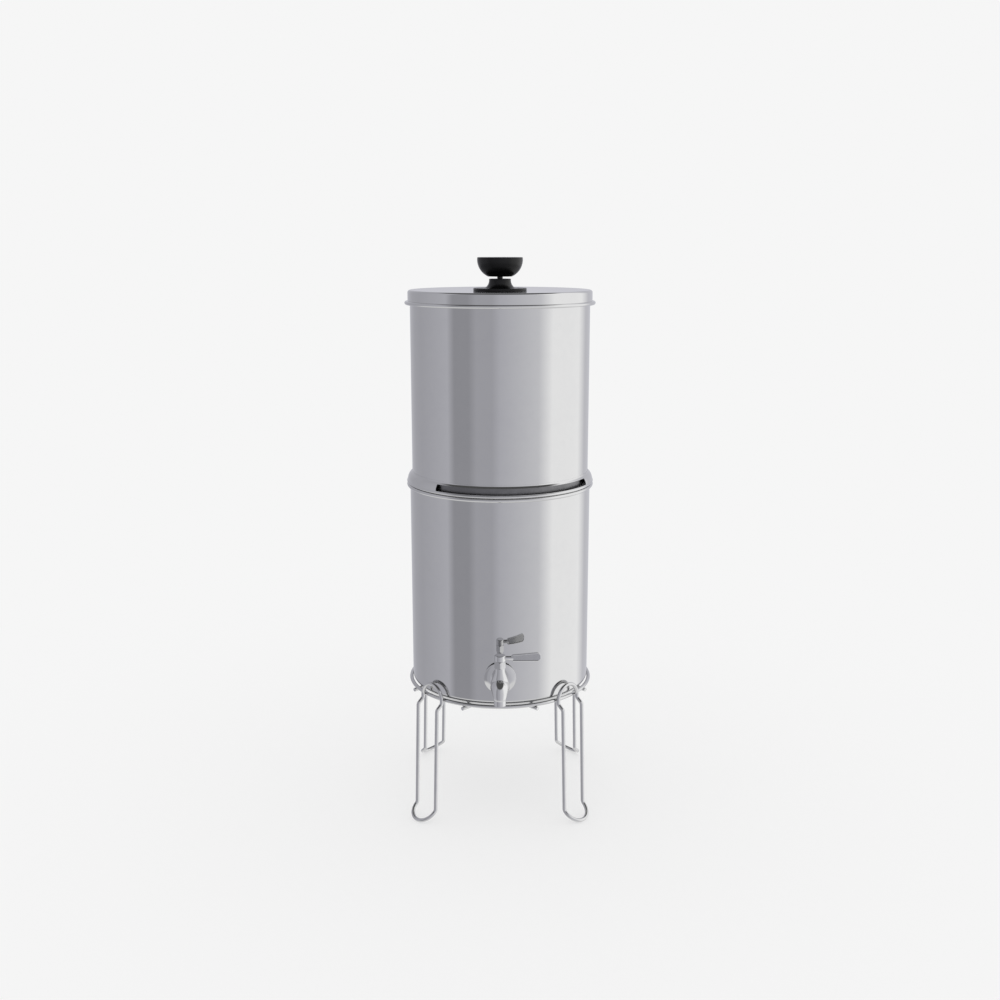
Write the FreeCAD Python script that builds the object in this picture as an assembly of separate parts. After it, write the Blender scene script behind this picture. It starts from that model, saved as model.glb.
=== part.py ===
import FreeCAD, Part
import math
import os

# Gravity water filter with tap. Millimetres, +Z up.
# The origin is on the worktop, on the axis of the two tanks. The tap faces -Y.
# Two polished steel tanks stand on each other in a wire stand. Water is poured into the upper
# tank, seeps through two filter elements into the lower tank and is drawn off at the tap.

# Wire stand
wire_diameter = 4.5
weld_gap = 0.1
stand_ring_reach = 2.1
stand_ring_height = 150.2
leg_wire_spacing = 33.0
leg_arch_rise = 16.5
leg_joggle_drop = 4.0
leg_joggle_height = 6.0
leg_joggle_radius = 4.5
leg_top_reach = 11.2
leg_knee_reach = 15.2
foot_tilt_degrees = 51.0
foot_bend_radius = 5.0
leg_azimuth_degrees = 45.0
support_wire_offset = 42.5
support_wire_overhang = 3.2
support_dip_margin = 17.5
support_dip_run = 14.0
support_dip_bend = 12.0

# Sheet steel tanks
sheet_wall = 0.8
tank_corner_radius = 9.0
seat_gap = 0.1
rest_gap = 0.3
cutter_overrun = 1.0
lower_tank_radius = 108.2
joint_height = 398.0
rim_bead_radius = 2.2
rim_bead_inset = 0.5
tank_nesting_gap = 1.8
upper_tank_nesting = 22.0
upper_tank_hem_radius = 1.1

# Support collar round the foot of the upper tank
collar_wall = 0.8
collar_tank_gap = 0.05
collar_flare_foot = 3.0
collar_flare_degrees = 54.8
collar_band_height = 3.0
collar_hem_radius = 1.6
collar_hem_overhang = 0.8
collar_rim_setback = 0.1
notch_bottom = 3.6
notch_top = 11.0
notch_centre_degrees = 11.8
notch_width_degrees = 106.5

# Lid
lid_top_height = 625.1
lid_gap = 0.4
lid_wall = 0.8
lid_corner_radius = 3.0
lid_dish_depth = 0.8
lid_seat_margin = 1.0
lid_skirt_length = 14.8
lid_bead_radius = 2.1
lid_bead_inset = 0.5

# Knob
knob_flange_radius = 31.3
knob_flange_thickness = 2.7
knob_flange_edge = 0.6
knob_collar_foot_radius = 18.0
knob_collar_radius = 12.8
knob_collar_height = 12.5
knob_collar_flare = 12.0
knob_collar_crown = 0.8
knob_neck_radius = 3.3
knob_neck_length = 2.6
knob_bowl_foot_radius = 14.6
knob_bowl_radius = 26.6
knob_bowl_height = 22.0
knob_bowl_edge = 0.8
knob_bowl_fullness = 2.7
knob_bowl_dish = 1.0
knob_screw_radius = 2.5
knob_screw_clearance = 0.3
thread_gap = 0.05
knob_screw_depth = 14.0
knob_screw_head_radius = 4.8
knob_screw_head_height = 2.0
knob_washer_radius = 8.0
knob_washer_thickness = 0.8
slot_width = 1.2
slot_depth = 1.0

# Filter elements
filter_offset = 48.0
filter_block_radius = 28.0
filter_block_height = 150.0
filter_cap_radius = 29.0
filter_cap_height = 12.0
filter_cap_lip = 6.0
filter_cap_gap = 0.1
filter_base_radius = 30.0
filter_base_height = 14.0
filter_base_lip = 6.0
filter_bore_radius = 9.0
filter_stem_radius = 6.0
filter_stem_length = 28.0
filter_stem_bore = 3.0
filter_hole_clearance = 0.3
filter_washer_radius = 16.0
filter_washer_thickness = 2.5
wing_nut_hub_radius = 10.0
wing_nut_hub_height = 8.0
wing_nut_span = 21.0
wing_nut_wing_height = 14.0
wing_nut_wing_thickness = 3.0

# Tap
tap_rise = 38.05
tap_reach = 28.0
tap_hole_clearance = 0.2
shank_radius = 8.0
shank_inner_length = 20.0
shank_bore_radius = 3.6
escutcheon_radius = 18.0
escutcheon_thickness = 3.0
escutcheon_edge = 1.0
outer_gasket_radius = 15.0
outer_gasket_thickness = 2.2
inner_gasket_radius = 14.0
inner_gasket_thickness = 2.5
inner_washer_radius = 14.0
inner_washer_thickness = 1.5
lock_nut_flats = 24.0
lock_nut_height = 5.0
barrel_radius = 9.4
barrel_plain_length = 7.5
barrel_swell = 0.15
bulb_radius = 10.4
elbow_radius = 10.6
elbow_start = 4.0
elbow_sections = 6
spout_radius = 7.0
spout_length = 6.0
spout_bore_radius = 4.4
tap_neck_radius = 5.8
tap_neck_height = 26.2
tap_shoulder_radius = 9.0
tap_shoulder_bottom = 6.0
tap_shoulder_top = 17.5
ball_radius = 6.0
ball_gap = 0.08
ball_bore_radius = 3.2
ball_seat_length = 2.9
stem_radius = 3.0
stem_gap = 0.06
stem_gland_radius = 4.6
stem_gland_depth = 9.0
stem_seal_radius = 0.74
stem_seal_spacing = 3.4
stem_tang_width = 2.4
stem_tang_depth = 2.0
tang_gap = 0.1
bonnet_flats = 12.6
bonnet_height = 8.3
bonnet_skirt = 4.0
bonnet_chamfer = 0.9

# Tap lever
lever_hub_radius = 6.4
lever_hub_height = 6.8
lever_hub_gap = 0.3
lever_hub_edge = 1.2
lever_neck_radius = 2.4
lever_neck_end = 15.0
lever_paddle_start = 12.5
lever_paddle_end = 46.4
lever_paddle_root_height = 7.2
lever_paddle_tip_height = 11.2
lever_paddle_thickness = 3.4
lever_paddle_rise = 1.8
lever_paddle_edge = 0.7
lever_panel_inset = 1.7
lever_panel_depth = 0.5

# Places worked out from the sizes above
wire_radius = wire_diameter / 2
stand_ring_radius = lower_tank_radius + stand_ring_reach
leg_top_radius = stand_ring_radius + leg_top_reach
leg_knee_radius = stand_ring_radius + leg_knee_reach
leg_arch_touch = stand_ring_radius + wire_diameter + weld_gap
leg_arch_radius = math.sqrt(leg_arch_touch ** 2 - (leg_wire_spacing / 2) ** 2)
support_wire_height = stand_ring_height - wire_diameter - weld_gap
support_wire_half = math.sqrt(stand_ring_radius ** 2 - support_wire_offset ** 2) + support_wire_overhang
support_dip_height = support_wire_height - wire_diameter - weld_gap
lower_tank_bottom = support_wire_height + wire_radius + seat_gap
lower_tank_top = joint_height - rest_gap / 2
tap_height = lower_tank_bottom + tap_rise
rim_bead_height = lower_tank_top - rim_bead_radius
rim_bead_centre = lower_tank_radius - rim_bead_inset + rim_bead_radius
upper_tank_radius = lower_tank_radius - sheet_wall - tank_nesting_gap
upper_tank_hem_centre = upper_tank_radius - sheet_wall + upper_tank_hem_radius
upper_tank_bottom = joint_height - upper_tank_nesting
lid_inner_height = lid_top_height - lid_wall
upper_tank_top = lid_inner_height - rest_gap
collar_bottom = joint_height + rest_gap / 2
collar_hem_reach = rim_bead_centre + rim_bead_radius - collar_rim_setback
collar_flare_reach = collar_hem_reach - collar_hem_overhang
lid_skirt_radius = upper_tank_hem_centre + upper_tank_hem_radius + lid_gap + lid_wall
tap_axis_y = -(lower_tank_radius + tap_reach)
gasket_face_y = -(lower_tank_radius + outer_gasket_thickness)
escutcheon_face_y = gasket_face_y - escutcheon_thickness
barrel_start = escutcheon_face_y - seat_gap
elbow_y = tap_axis_y - elbow_start
mouth_y = elbow_y - elbow_radius
mouth_height = tap_height - elbow_radius - spout_length
neck_top = tap_height + tap_neck_height
bonnet_bottom = neck_top - bonnet_skirt
bonnet_top = bonnet_bottom + bonnet_height
lever_bottom = bonnet_top + lever_hub_gap
filter_floor = upper_tank_bottom + sheet_wall

up = FreeCAD.Vector(0, 0, 1)
forward = FreeCAD.Vector(0, -1, 0)
backward = FreeCAD.Vector(0, 1, 0)
rightward = FreeCAD.Vector(1, 0, 0)
origin = FreeCAD.Vector(0, 0, 0)
full_turn = 360


def vec(x, y, z):
    return FreeCAD.Vector(x, y, z)


def line(start, end):
    return Part.LineSegment(start, end).toShape()


def arc(start, middle, end):
    return Part.Arc(start, middle, end).toShape()


def export(node, shape):
    shape.exportStep("parts/" + node + ".step")


def cylinder(radius, height, base, direction=up):
    return Part.makeCylinder(radius, height, base, direction)


def tube(outer, inner, height, base, direction=up):
    return cylinder(outer, height, base, direction).cut(cylinder(inner, height, base, direction))


def turned(edges, degrees=full_turn, base=origin, direction=up):
    """Turn a closed section about an axis through base."""
    face = Part.Face(Part.Wire(edges))
    return face.revolve(base, direction, degrees)


def fillet_round_edges(shape, radius, height):
    """Round the circular edges that lie at one height."""
    chosen = []
    for edge in shape.Edges:
        box = edge.BoundBox
        flat = box.ZLength < 0.001
        if flat and abs(box.ZMin - height) < 0.001 and box.XLength > 0.001:
            chosen.append(edge)
    return shape.makeFillet(radius, chosen)


def hexagon(flats, height, base, direction=up):
    """A hexagonal prism, size given across the flats."""
    corner_radius = flats / math.sqrt(3)
    sixth = math.radians(60)
    points = []
    for index in range(7):
        angle = (index + 0.5) * sixth
        points.append(vec(corner_radius * math.cos(angle), corner_radius * math.sin(angle), 0))
    prism = Part.Face(Part.makePolygon(points)).extrude(vec(0, 0, height))
    turn = FreeCAD.Rotation(up, direction)
    prism.Placement = FreeCAD.Placement(base, turn)
    return prism


def rounded_path(points, radii):
    """Straight runs joined by tangent arcs, one radius for each inner point."""
    edges = []
    last = points[0]
    for index in range(1, len(points) - 1):
        corner = points[index]
        before = (points[index - 1] - corner).normalize()
        after = (points[index + 1] - corner).normalize()
        half_angle = before.getAngle(after) / 2
        radius = radii[index - 1]
        reach = radius / math.tan(half_angle)
        bisector = (before + after).normalize()
        start = corner + before * reach
        end = corner + after * reach
        middle = corner + bisector * (radius / math.sin(half_angle) - radius)
        if start.distanceToPoint(last) > 0.001:
            edges.append(line(last, start))
        edges.append(arc(start, middle, end))
        last = end
    if last.distanceToPoint(points[-1]) > 0.001:
        edges.append(line(last, points[-1]))
    return Part.Wire(edges)


def wire_along(path, radius):
    """Round wire whose centre line is the path."""
    first = path.OrderedEdges[0]
    start = first.valueAt(first.FirstParameter)
    direction = first.tangentAt(first.FirstParameter)
    ring = Part.Wire(Part.Circle(start, direction, radius).toShape())
    return path.makePipeShell([ring], True, False)


def pot(radius, wall, corner, bottom, top):
    """A drawn sheet pot with a flat floor and a rounded corner."""
    outside = fillet_round_edges(cylinder(radius, top - bottom, vec(0, 0, bottom)), corner, bottom)
    floor = bottom + wall
    inside = cylinder(radius - wall, top - bottom, vec(0, 0, floor))
    inside = fillet_round_edges(inside, corner - wall, floor)
    return outside.cut(inside)


# Wire stand

def make_leg():
    """One leg loop, pointing along +X: an arch on the ring, two uprights and a bent foot."""
    half = leg_wire_spacing / 2
    arch_top = stand_ring_height + leg_arch_rise
    joggle_top = stand_ring_height - leg_joggle_drop
    joggle_bottom = joggle_top - leg_joggle_height
    tilt = math.radians(foot_tilt_degrees)
    foot_height = wire_radius
    knee_height = foot_height + (half + foot_bend_radius / 2) * math.cos(tilt)
    foot_radius = leg_knee_radius + (half + foot_bend_radius / 2) * math.sin(tilt)
    points = [
        vec(leg_arch_radius, 0, arch_top),
        vec(leg_arch_radius, half, arch_top),
        vec(leg_arch_radius, half, joggle_top),
        vec(leg_top_radius, half, joggle_bottom),
        vec(leg_knee_radius, half, knee_height),
        vec(foot_radius, half, foot_height),
        vec(foot_radius, 0, foot_height),
    ]
    radii = [leg_arch_rise, leg_joggle_radius, leg_joggle_radius, foot_bend_radius, half]
    side = wire_along(rounded_path(points, radii), wire_radius)
    other_side = side.mirror(origin, backward)
    return side.fuse(other_side)


def make_stand():
    ring = Part.makeTorus(stand_ring_radius, wire_radius, vec(0, 0, stand_ring_height))
    export("stand_ring", ring)
    leg = make_leg()
    corners = ["back_right", "back_left", "front_left", "front_right"]
    for index, corner in enumerate(corners):
        turned_leg = leg.copy()
        turned_leg.rotate(origin, up, leg_azimuth_degrees + 90 * index)
        export("leg_" + corner, turned_leg)


def make_support_wires():
    """Four wires under the ring carry the tank. Two dip under the other two where they cross."""
    half = support_wire_half
    straight = []
    dipped = []
    for side in (-1, 1):
        offset = side * support_wire_offset
        base = vec(-half, offset, support_wire_height)
        straight.append(cylinder(wire_radius, 2 * half, base, rightward))
        dip = support_wire_offset + support_dip_margin
        ramp = dip + support_dip_run
        points = [
            vec(-half, offset, support_wire_height),
            vec(-ramp, offset, support_wire_height),
            vec(-dip, offset, support_dip_height),
            vec(dip, offset, support_dip_height),
            vec(ramp, offset, support_wire_height),
            vec(half, offset, support_wire_height),
        ]
        dipped.append(wire_along(rounded_path(points, [support_dip_bend] * 4), wire_radius))
    upper_pair = Part.makeCompound(straight)
    upper_pair.rotate(origin, up, -leg_azimuth_degrees)
    lower_pair = Part.makeCompound(dipped)
    lower_pair.rotate(origin, up, leg_azimuth_degrees)
    export("support_wires_straight", upper_pair)
    export("support_wires_dipped", lower_pair)


# Tanks

def make_lower_tank():
    tank = pot(lower_tank_radius, sheet_wall, tank_corner_radius, lower_tank_bottom, rim_bead_height)
    bead = Part.makeTorus(rim_bead_centre, rim_bead_radius, vec(0, 0, rim_bead_height))
    hole = cylinder(shank_radius + tap_hole_clearance, lower_tank_radius + cutter_overrun,
                    vec(0, 0, tap_height), forward)
    export("lower_tank", tank.fuse(bead).cut(hole))


def make_upper_tank():
    hem_height = upper_tank_top - upper_tank_hem_radius
    tank = pot(upper_tank_radius, sheet_wall, tank_corner_radius, upper_tank_bottom, hem_height)
    hem = Part.makeTorus(upper_tank_hem_centre, upper_tank_hem_radius, vec(0, 0, hem_height))
    tank = tank.fuse(hem)
    for side in (-1, 1):
        base = vec(side * filter_offset, 0, upper_tank_bottom - cutter_overrun)
        depth = sheet_wall + 2 * cutter_overrun
        tank = tank.cut(cylinder(filter_stem_radius + filter_hole_clearance, depth, base))
    export("upper_tank", tank)


def make_support_collar():
    """Flared ring welded round the upper tank. Its hem rests on the lower tank's rim."""
    band_inner = upper_tank_radius + collar_tank_gap
    band_outer = band_inner + collar_wall
    foot = collar_bottom + collar_flare_foot
    end = math.radians(collar_flare_degrees)
    inner_radius = (collar_flare_reach - collar_wall - band_inner) / (1 - math.cos(end))
    outer_radius = inner_radius + collar_wall
    centre_radius = collar_flare_reach - outer_radius

    def on_flare(radius, angle):
        return vec(centre_radius + radius * math.cos(angle), 0, foot + radius * math.sin(angle))

    flare = turned([
        arc(on_flare(outer_radius, 0), on_flare(outer_radius, end / 2), on_flare(outer_radius, end)),
        line(on_flare(outer_radius, end), on_flare(inner_radius, end)),
        arc(on_flare(inner_radius, end), on_flare(inner_radius, end / 2), on_flare(inner_radius, 0)),
        line(on_flare(inner_radius, 0), on_flare(outer_radius, 0)),
    ])
    band_bottom = foot + inner_radius * math.sin(end) - collar_wall
    band = tube(band_outer, band_inner, collar_band_height, vec(0, 0, band_bottom))
    hem_centre = vec(0, 0, collar_bottom + collar_hem_radius)
    hem = Part.makeTorus(collar_hem_reach - collar_hem_radius, collar_hem_radius, hem_centre)
    hem_joint_radius = collar_flare_reach - collar_wall
    hem_joint = tube(collar_flare_reach, hem_joint_radius, collar_flare_foot - collar_hem_radius,
                     hem_centre)
    collar = flare.fuse([band, hem, hem_joint])

    bottom = joint_height + notch_bottom
    top = joint_height + notch_top
    outer = collar_hem_reach + cutter_overrun
    section = Part.makePolygon([
        vec(band_outer, 0, bottom),
        vec(outer, 0, bottom),
        vec(outer, 0, top),
        vec(band_outer, 0, top),
        vec(band_outer, 0, bottom),
    ])
    notch = Part.Face(section).revolve(origin, up, notch_width_degrees)
    for facing in (-90, 90):
        cutter = notch.copy()
        cutter.rotate(origin, up, facing + notch_centre_degrees - notch_width_degrees / 2)
        collar = collar.cut(cutter)
    export("support_collar", collar)


# Lid and knob

def dish_rise(distance, edge_radius, depth):
    """How far a shallow dish has risen at a distance from its centre."""
    sphere_radius = (edge_radius ** 2 + depth ** 2) / (2 * depth)
    return sphere_radius - math.sqrt(sphere_radius ** 2 - distance ** 2)


def make_lid():
    """The lid's top is a shallow dish with a flat seat for the knob."""
    skirt_foot = lid_top_height - lid_skirt_length
    corner = lid_corner_radius
    inner_corner = corner - lid_wall
    radius = lid_skirt_radius
    inner = radius - lid_wall
    shoulder = lid_top_height - corner
    turn = math.radians(45)
    corner_centre = vec(radius - corner, 0, shoulder)
    outer_middle = corner_centre + vec(corner * math.cos(turn), 0, corner * math.sin(turn))
    inner_middle = corner_centre + vec(inner_corner * math.cos(turn), 0, inner_corner * math.sin(turn))
    dish_edge = radius - corner
    dish_floor = lid_top_height - lid_dish_depth
    seat = knob_flange_radius + lid_seat_margin
    half_run = (dish_edge - seat) / 2
    half_edge = seat + half_run
    half_floor = dish_floor + dish_rise(half_run, 2 * half_run, lid_dish_depth)
    lid = turned([
        line(vec(inner, 0, skirt_foot), vec(radius, 0, skirt_foot)),
        line(vec(radius, 0, skirt_foot), vec(radius, 0, shoulder)),
        arc(vec(radius, 0, shoulder), outer_middle, vec(dish_edge, 0, lid_top_height)),
        arc(vec(dish_edge, 0, lid_top_height), vec(half_edge, 0, half_floor), vec(seat, 0, dish_floor)),
        line(vec(seat, 0, dish_floor), vec(0, 0, dish_floor)),
        line(vec(0, 0, dish_floor), vec(0, 0, dish_floor - lid_wall)),
        line(vec(0, 0, dish_floor - lid_wall), vec(seat, 0, dish_floor - lid_wall)),
        arc(vec(seat, 0, dish_floor - lid_wall), vec(half_edge, 0, half_floor - lid_wall),
            vec(dish_edge, 0, lid_inner_height)),
        arc(vec(dish_edge, 0, lid_inner_height), inner_middle, vec(inner, 0, shoulder)),
        line(vec(inner, 0, shoulder), vec(inner, 0, skirt_foot)),
    ])
    bead_centre = radius - lid_bead_inset + lid_bead_radius
    bead = Part.makeTorus(bead_centre, lid_bead_radius, vec(0, 0, skirt_foot))
    hole = cylinder(knob_screw_radius + knob_screw_clearance, lid_skirt_length, vec(0, 0, skirt_foot))
    export("lid", lid.fuse(bead).cut(hole))


def make_knob():
    seat = lid_top_height - lid_dish_depth
    flange_top = seat + knob_flange_thickness
    collar_top = seat + knob_collar_height
    crown = collar_top + knob_collar_crown
    neck_top_height = crown + knob_neck_length
    bowl_top = neck_top_height + knob_bowl_height
    edge = knob_flange_edge
    flare_middle = vec((knob_collar_foot_radius + 2 * knob_collar_radius) / 3, 0,
                       (2 * flange_top + knob_collar_flare + seat) / 3)
    base = turned([
        line(vec(0, 0, seat), vec(knob_flange_radius, 0, seat)),
        line(vec(knob_flange_radius, 0, seat), vec(knob_flange_radius, 0, flange_top - edge)),
        line(vec(knob_flange_radius, 0, flange_top - edge), vec(knob_flange_radius - edge, 0, flange_top)),
        line(vec(knob_flange_radius - edge, 0, flange_top), vec(knob_collar_foot_radius, 0, flange_top)),
        arc(vec(knob_collar_foot_radius, 0, flange_top), flare_middle,
            vec(knob_collar_radius, 0, seat + knob_collar_flare)),
        line(vec(knob_collar_radius, 0, seat + knob_collar_flare), vec(knob_collar_radius, 0, collar_top)),
        line(vec(knob_collar_radius, 0, collar_top),
             vec(knob_collar_radius - knob_collar_crown, 0, crown)),
        line(vec(knob_collar_radius - knob_collar_crown, 0, crown), vec(0, 0, crown)),
        line(vec(0, 0, crown), vec(0, 0, seat)),
    ])
    passage = cylinder(knob_screw_radius + thread_gap, knob_collar_height + knob_collar_crown,
                       vec(0, 0, seat))
    export("knob_base", base.cut(passage))

    rim = bowl_top - knob_bowl_edge
    dish_radius = knob_bowl_radius - knob_bowl_edge
    dish_floor = bowl_top - knob_bowl_dish
    side_middle = vec((knob_bowl_foot_radius + knob_bowl_radius) / 2 + knob_bowl_fullness, 0,
                      (neck_top_height + rim) / 2 - knob_bowl_fullness)
    bowl = turned([
        line(vec(0, 0, crown), vec(knob_neck_radius, 0, crown)),
        line(vec(knob_neck_radius, 0, crown), vec(knob_neck_radius, 0, neck_top_height)),
        line(vec(knob_neck_radius, 0, neck_top_height), vec(knob_bowl_foot_radius, 0, neck_top_height)),
        arc(vec(knob_bowl_foot_radius, 0, neck_top_height), side_middle, vec(knob_bowl_radius, 0, rim)),
        line(vec(knob_bowl_radius, 0, rim), vec(dish_radius, 0, bowl_top)),
        arc(vec(dish_radius, 0, bowl_top),
            vec(dish_radius / 2, 0, dish_floor + dish_rise(dish_radius / 2, dish_radius, knob_bowl_dish)),
            vec(0, 0, dish_floor)),
        line(vec(0, 0, dish_floor), vec(0, 0, crown)),
    ])
    socket_depth = knob_neck_length + knob_screw_depth + knob_screw_clearance
    socket = cylinder(knob_screw_radius + thread_gap, socket_depth, vec(0, 0, crown))
    export("knob", bowl.cut(socket))

    washer_top = seat - lid_wall - thread_gap
    washer_bottom = washer_top - knob_washer_thickness
    hole_radius = knob_screw_radius + thread_gap
    washer = tube(knob_washer_radius, hole_radius, knob_washer_thickness, vec(0, 0, washer_bottom))
    export("knob_washer", washer)

    screw_length = crown + knob_neck_length + knob_screw_depth - washer_bottom
    head_bottom = washer_bottom - knob_screw_head_height
    screw = cylinder(knob_screw_radius, screw_length, vec(0, 0, washer_bottom))
    head = cylinder(knob_screw_head_radius, knob_screw_head_height, vec(0, 0, head_bottom))
    head = fillet_round_edges(head, knob_screw_head_height / 3, head_bottom)
    slot = Part.makeBox(2 * knob_screw_head_radius, slot_width, slot_depth,
                        vec(-knob_screw_head_radius, -slot_width / 2, head_bottom))
    export("knob_screw", screw.fuse(head).cut(slot))


# Filter elements

def make_filter(name, x):
    """One element: a carbon block between two caps, held by its threaded stem and a wing nut."""
    washer_base = vec(x, 0, filter_floor)
    washer = tube(filter_washer_radius, filter_stem_radius + thread_gap, filter_washer_thickness,
                  washer_base)
    export("filter_washer_" + name, washer)

    base_bottom = filter_floor + filter_washer_thickness
    block_bottom = base_bottom + filter_base_height - filter_base_lip
    block_top = block_bottom + filter_block_height
    cap_top = block_top + filter_cap_height - filter_cap_lip

    base = cylinder(filter_base_radius, filter_base_height, vec(x, 0, base_bottom))
    pocket = cylinder(filter_block_radius + filter_cap_gap, filter_base_lip, vec(x, 0, block_bottom))
    stem = cylinder(filter_stem_radius, filter_stem_length, vec(x, 0, base_bottom - filter_stem_length))
    drain_length = filter_stem_length + filter_base_height
    drain = cylinder(filter_stem_bore, drain_length, vec(x, 0, base_bottom - filter_stem_length))
    export("filter_base_" + name, base.cut(pocket).fuse(stem).cut(drain))

    block = tube(filter_block_radius, filter_bore_radius, filter_block_height, vec(x, 0, block_bottom))
    export("filter_block_" + name, block)

    cap = cylinder(filter_cap_radius + filter_cap_gap, filter_cap_height,
                   vec(x, 0, cap_top - filter_cap_height))
    cap = fillet_round_edges(cap, filter_cap_lip / 2, cap_top)
    hollow = cylinder(filter_block_radius + filter_cap_gap, filter_cap_lip,
                      vec(x, 0, block_top - filter_cap_lip))
    export("filter_cap_" + name, cap.cut(hollow))

    nut_bottom = upper_tank_bottom - seat_gap - wing_nut_hub_height
    hub = cylinder(wing_nut_hub_radius, wing_nut_hub_height, vec(x, 0, nut_bottom))
    wings = Part.makeBox(2 * wing_nut_span, wing_nut_wing_thickness, wing_nut_wing_height)
    wings.translate(vec(x - wing_nut_span, -wing_nut_wing_thickness / 2,
                        nut_bottom + wing_nut_hub_height / 2 - wing_nut_wing_height))
    wings = wings.makeFillet(wing_nut_wing_height / 3, wing_edges(wings))
    passage = cylinder(filter_stem_radius + thread_gap, wing_nut_hub_height + wing_nut_wing_height,
                       vec(x, 0, nut_bottom - wing_nut_wing_height))
    export("wing_nut_" + name, hub.fuse(wings).cut(passage))


def wing_edges(wings):
    """The four short edges at the ends of the wings."""
    chosen = []
    for edge in wings.Edges:
        if abs(edge.BoundBox.YLength - wing_nut_wing_thickness) < 0.001:
            chosen.append(edge)
    return chosen


# Tap

def wall_sagitta(wall_radius, reach):
    """How far a round wall falls away at a distance from its nearest point."""
    return wall_radius - math.sqrt(wall_radius ** 2 - reach ** 2)


def make_tap_seals():
    """Gaskets each side of the tank wall, cut to the wall's curve."""
    bore = shank_radius + thread_gap
    outer_sagitta = wall_sagitta(lower_tank_radius, outer_gasket_radius)
    outer_base = vec(0, gasket_face_y, tap_height)
    outer = tube(outer_gasket_radius, bore, outer_gasket_thickness + outer_sagitta, outer_base, backward)
    outer = outer.cut(cylinder(lower_tank_radius + weld_gap, 2 * tap_height, origin))
    export("tap_outer_gasket", outer)

    inner_wall = lower_tank_radius - sheet_wall
    sagitta = wall_sagitta(inner_wall, inner_gasket_radius)
    inner_back = -(inner_wall - sagitta - inner_gasket_thickness)
    inner_base = vec(0, inner_back, tap_height)
    inner = tube(inner_gasket_radius, bore, inner_gasket_thickness + 2 * sagitta, inner_base, forward)
    inner = inner.common(cylinder(inner_wall - weld_gap, 2 * tap_height, origin))
    export("tap_inner_gasket", inner)

    washer = tube(inner_washer_radius, bore, inner_washer_thickness, inner_base, backward)
    export("tap_inner_washer", washer)

    nut_base = vec(0, inner_back + inner_washer_thickness, tap_height)
    nut = hexagon(lock_nut_flats, lock_nut_height, nut_base, backward)
    nut = nut.cut(cylinder(bore, lock_nut_height, nut_base, backward))
    export("tap_lock_nut", nut)


def make_escutcheon():
    """The polished disc between the gasket and the tap barrel, thinner at its edge."""
    bore = shank_radius + thread_gap
    thick = escutcheon_thickness
    edge = escutcheon_edge
    radius = escutcheon_radius
    flat = barrel_radius + edge
    middle = vec((flat + radius) / 2, 0, thick - edge / 2)
    disc = turned([
        line(vec(bore, 0, 0), vec(radius - edge / 2, 0, 0)),
        arc(vec(radius - edge / 2, 0, 0), vec(radius, 0, edge / 2), vec(radius - edge / 2, 0, edge)),
        arc(vec(radius - edge / 2, 0, edge), middle, vec(flat, 0, thick)),
        line(vec(flat, 0, thick), vec(bore, 0, thick)),
        line(vec(bore, 0, thick), vec(bore, 0, 0)),
    ])
    disc.Placement = FreeCAD.Placement(vec(0, gasket_face_y, tap_height), FreeCAD.Rotation(up, forward))
    export("tap_escutcheon", disc)


def spout_section(angle, radius):
    """A round section of the elbow, square to its centre line. Angle 0 is horizontal."""
    turn = math.radians(angle)
    centre = vec(0, elbow_y - elbow_radius * math.sin(turn),
                 tap_height - elbow_radius * (1 - math.cos(turn)))
    direction = vec(0, -math.cos(turn), -math.sin(turn))
    return Part.Wire(Part.Circle(centre, direction, radius).toShape())


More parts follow.
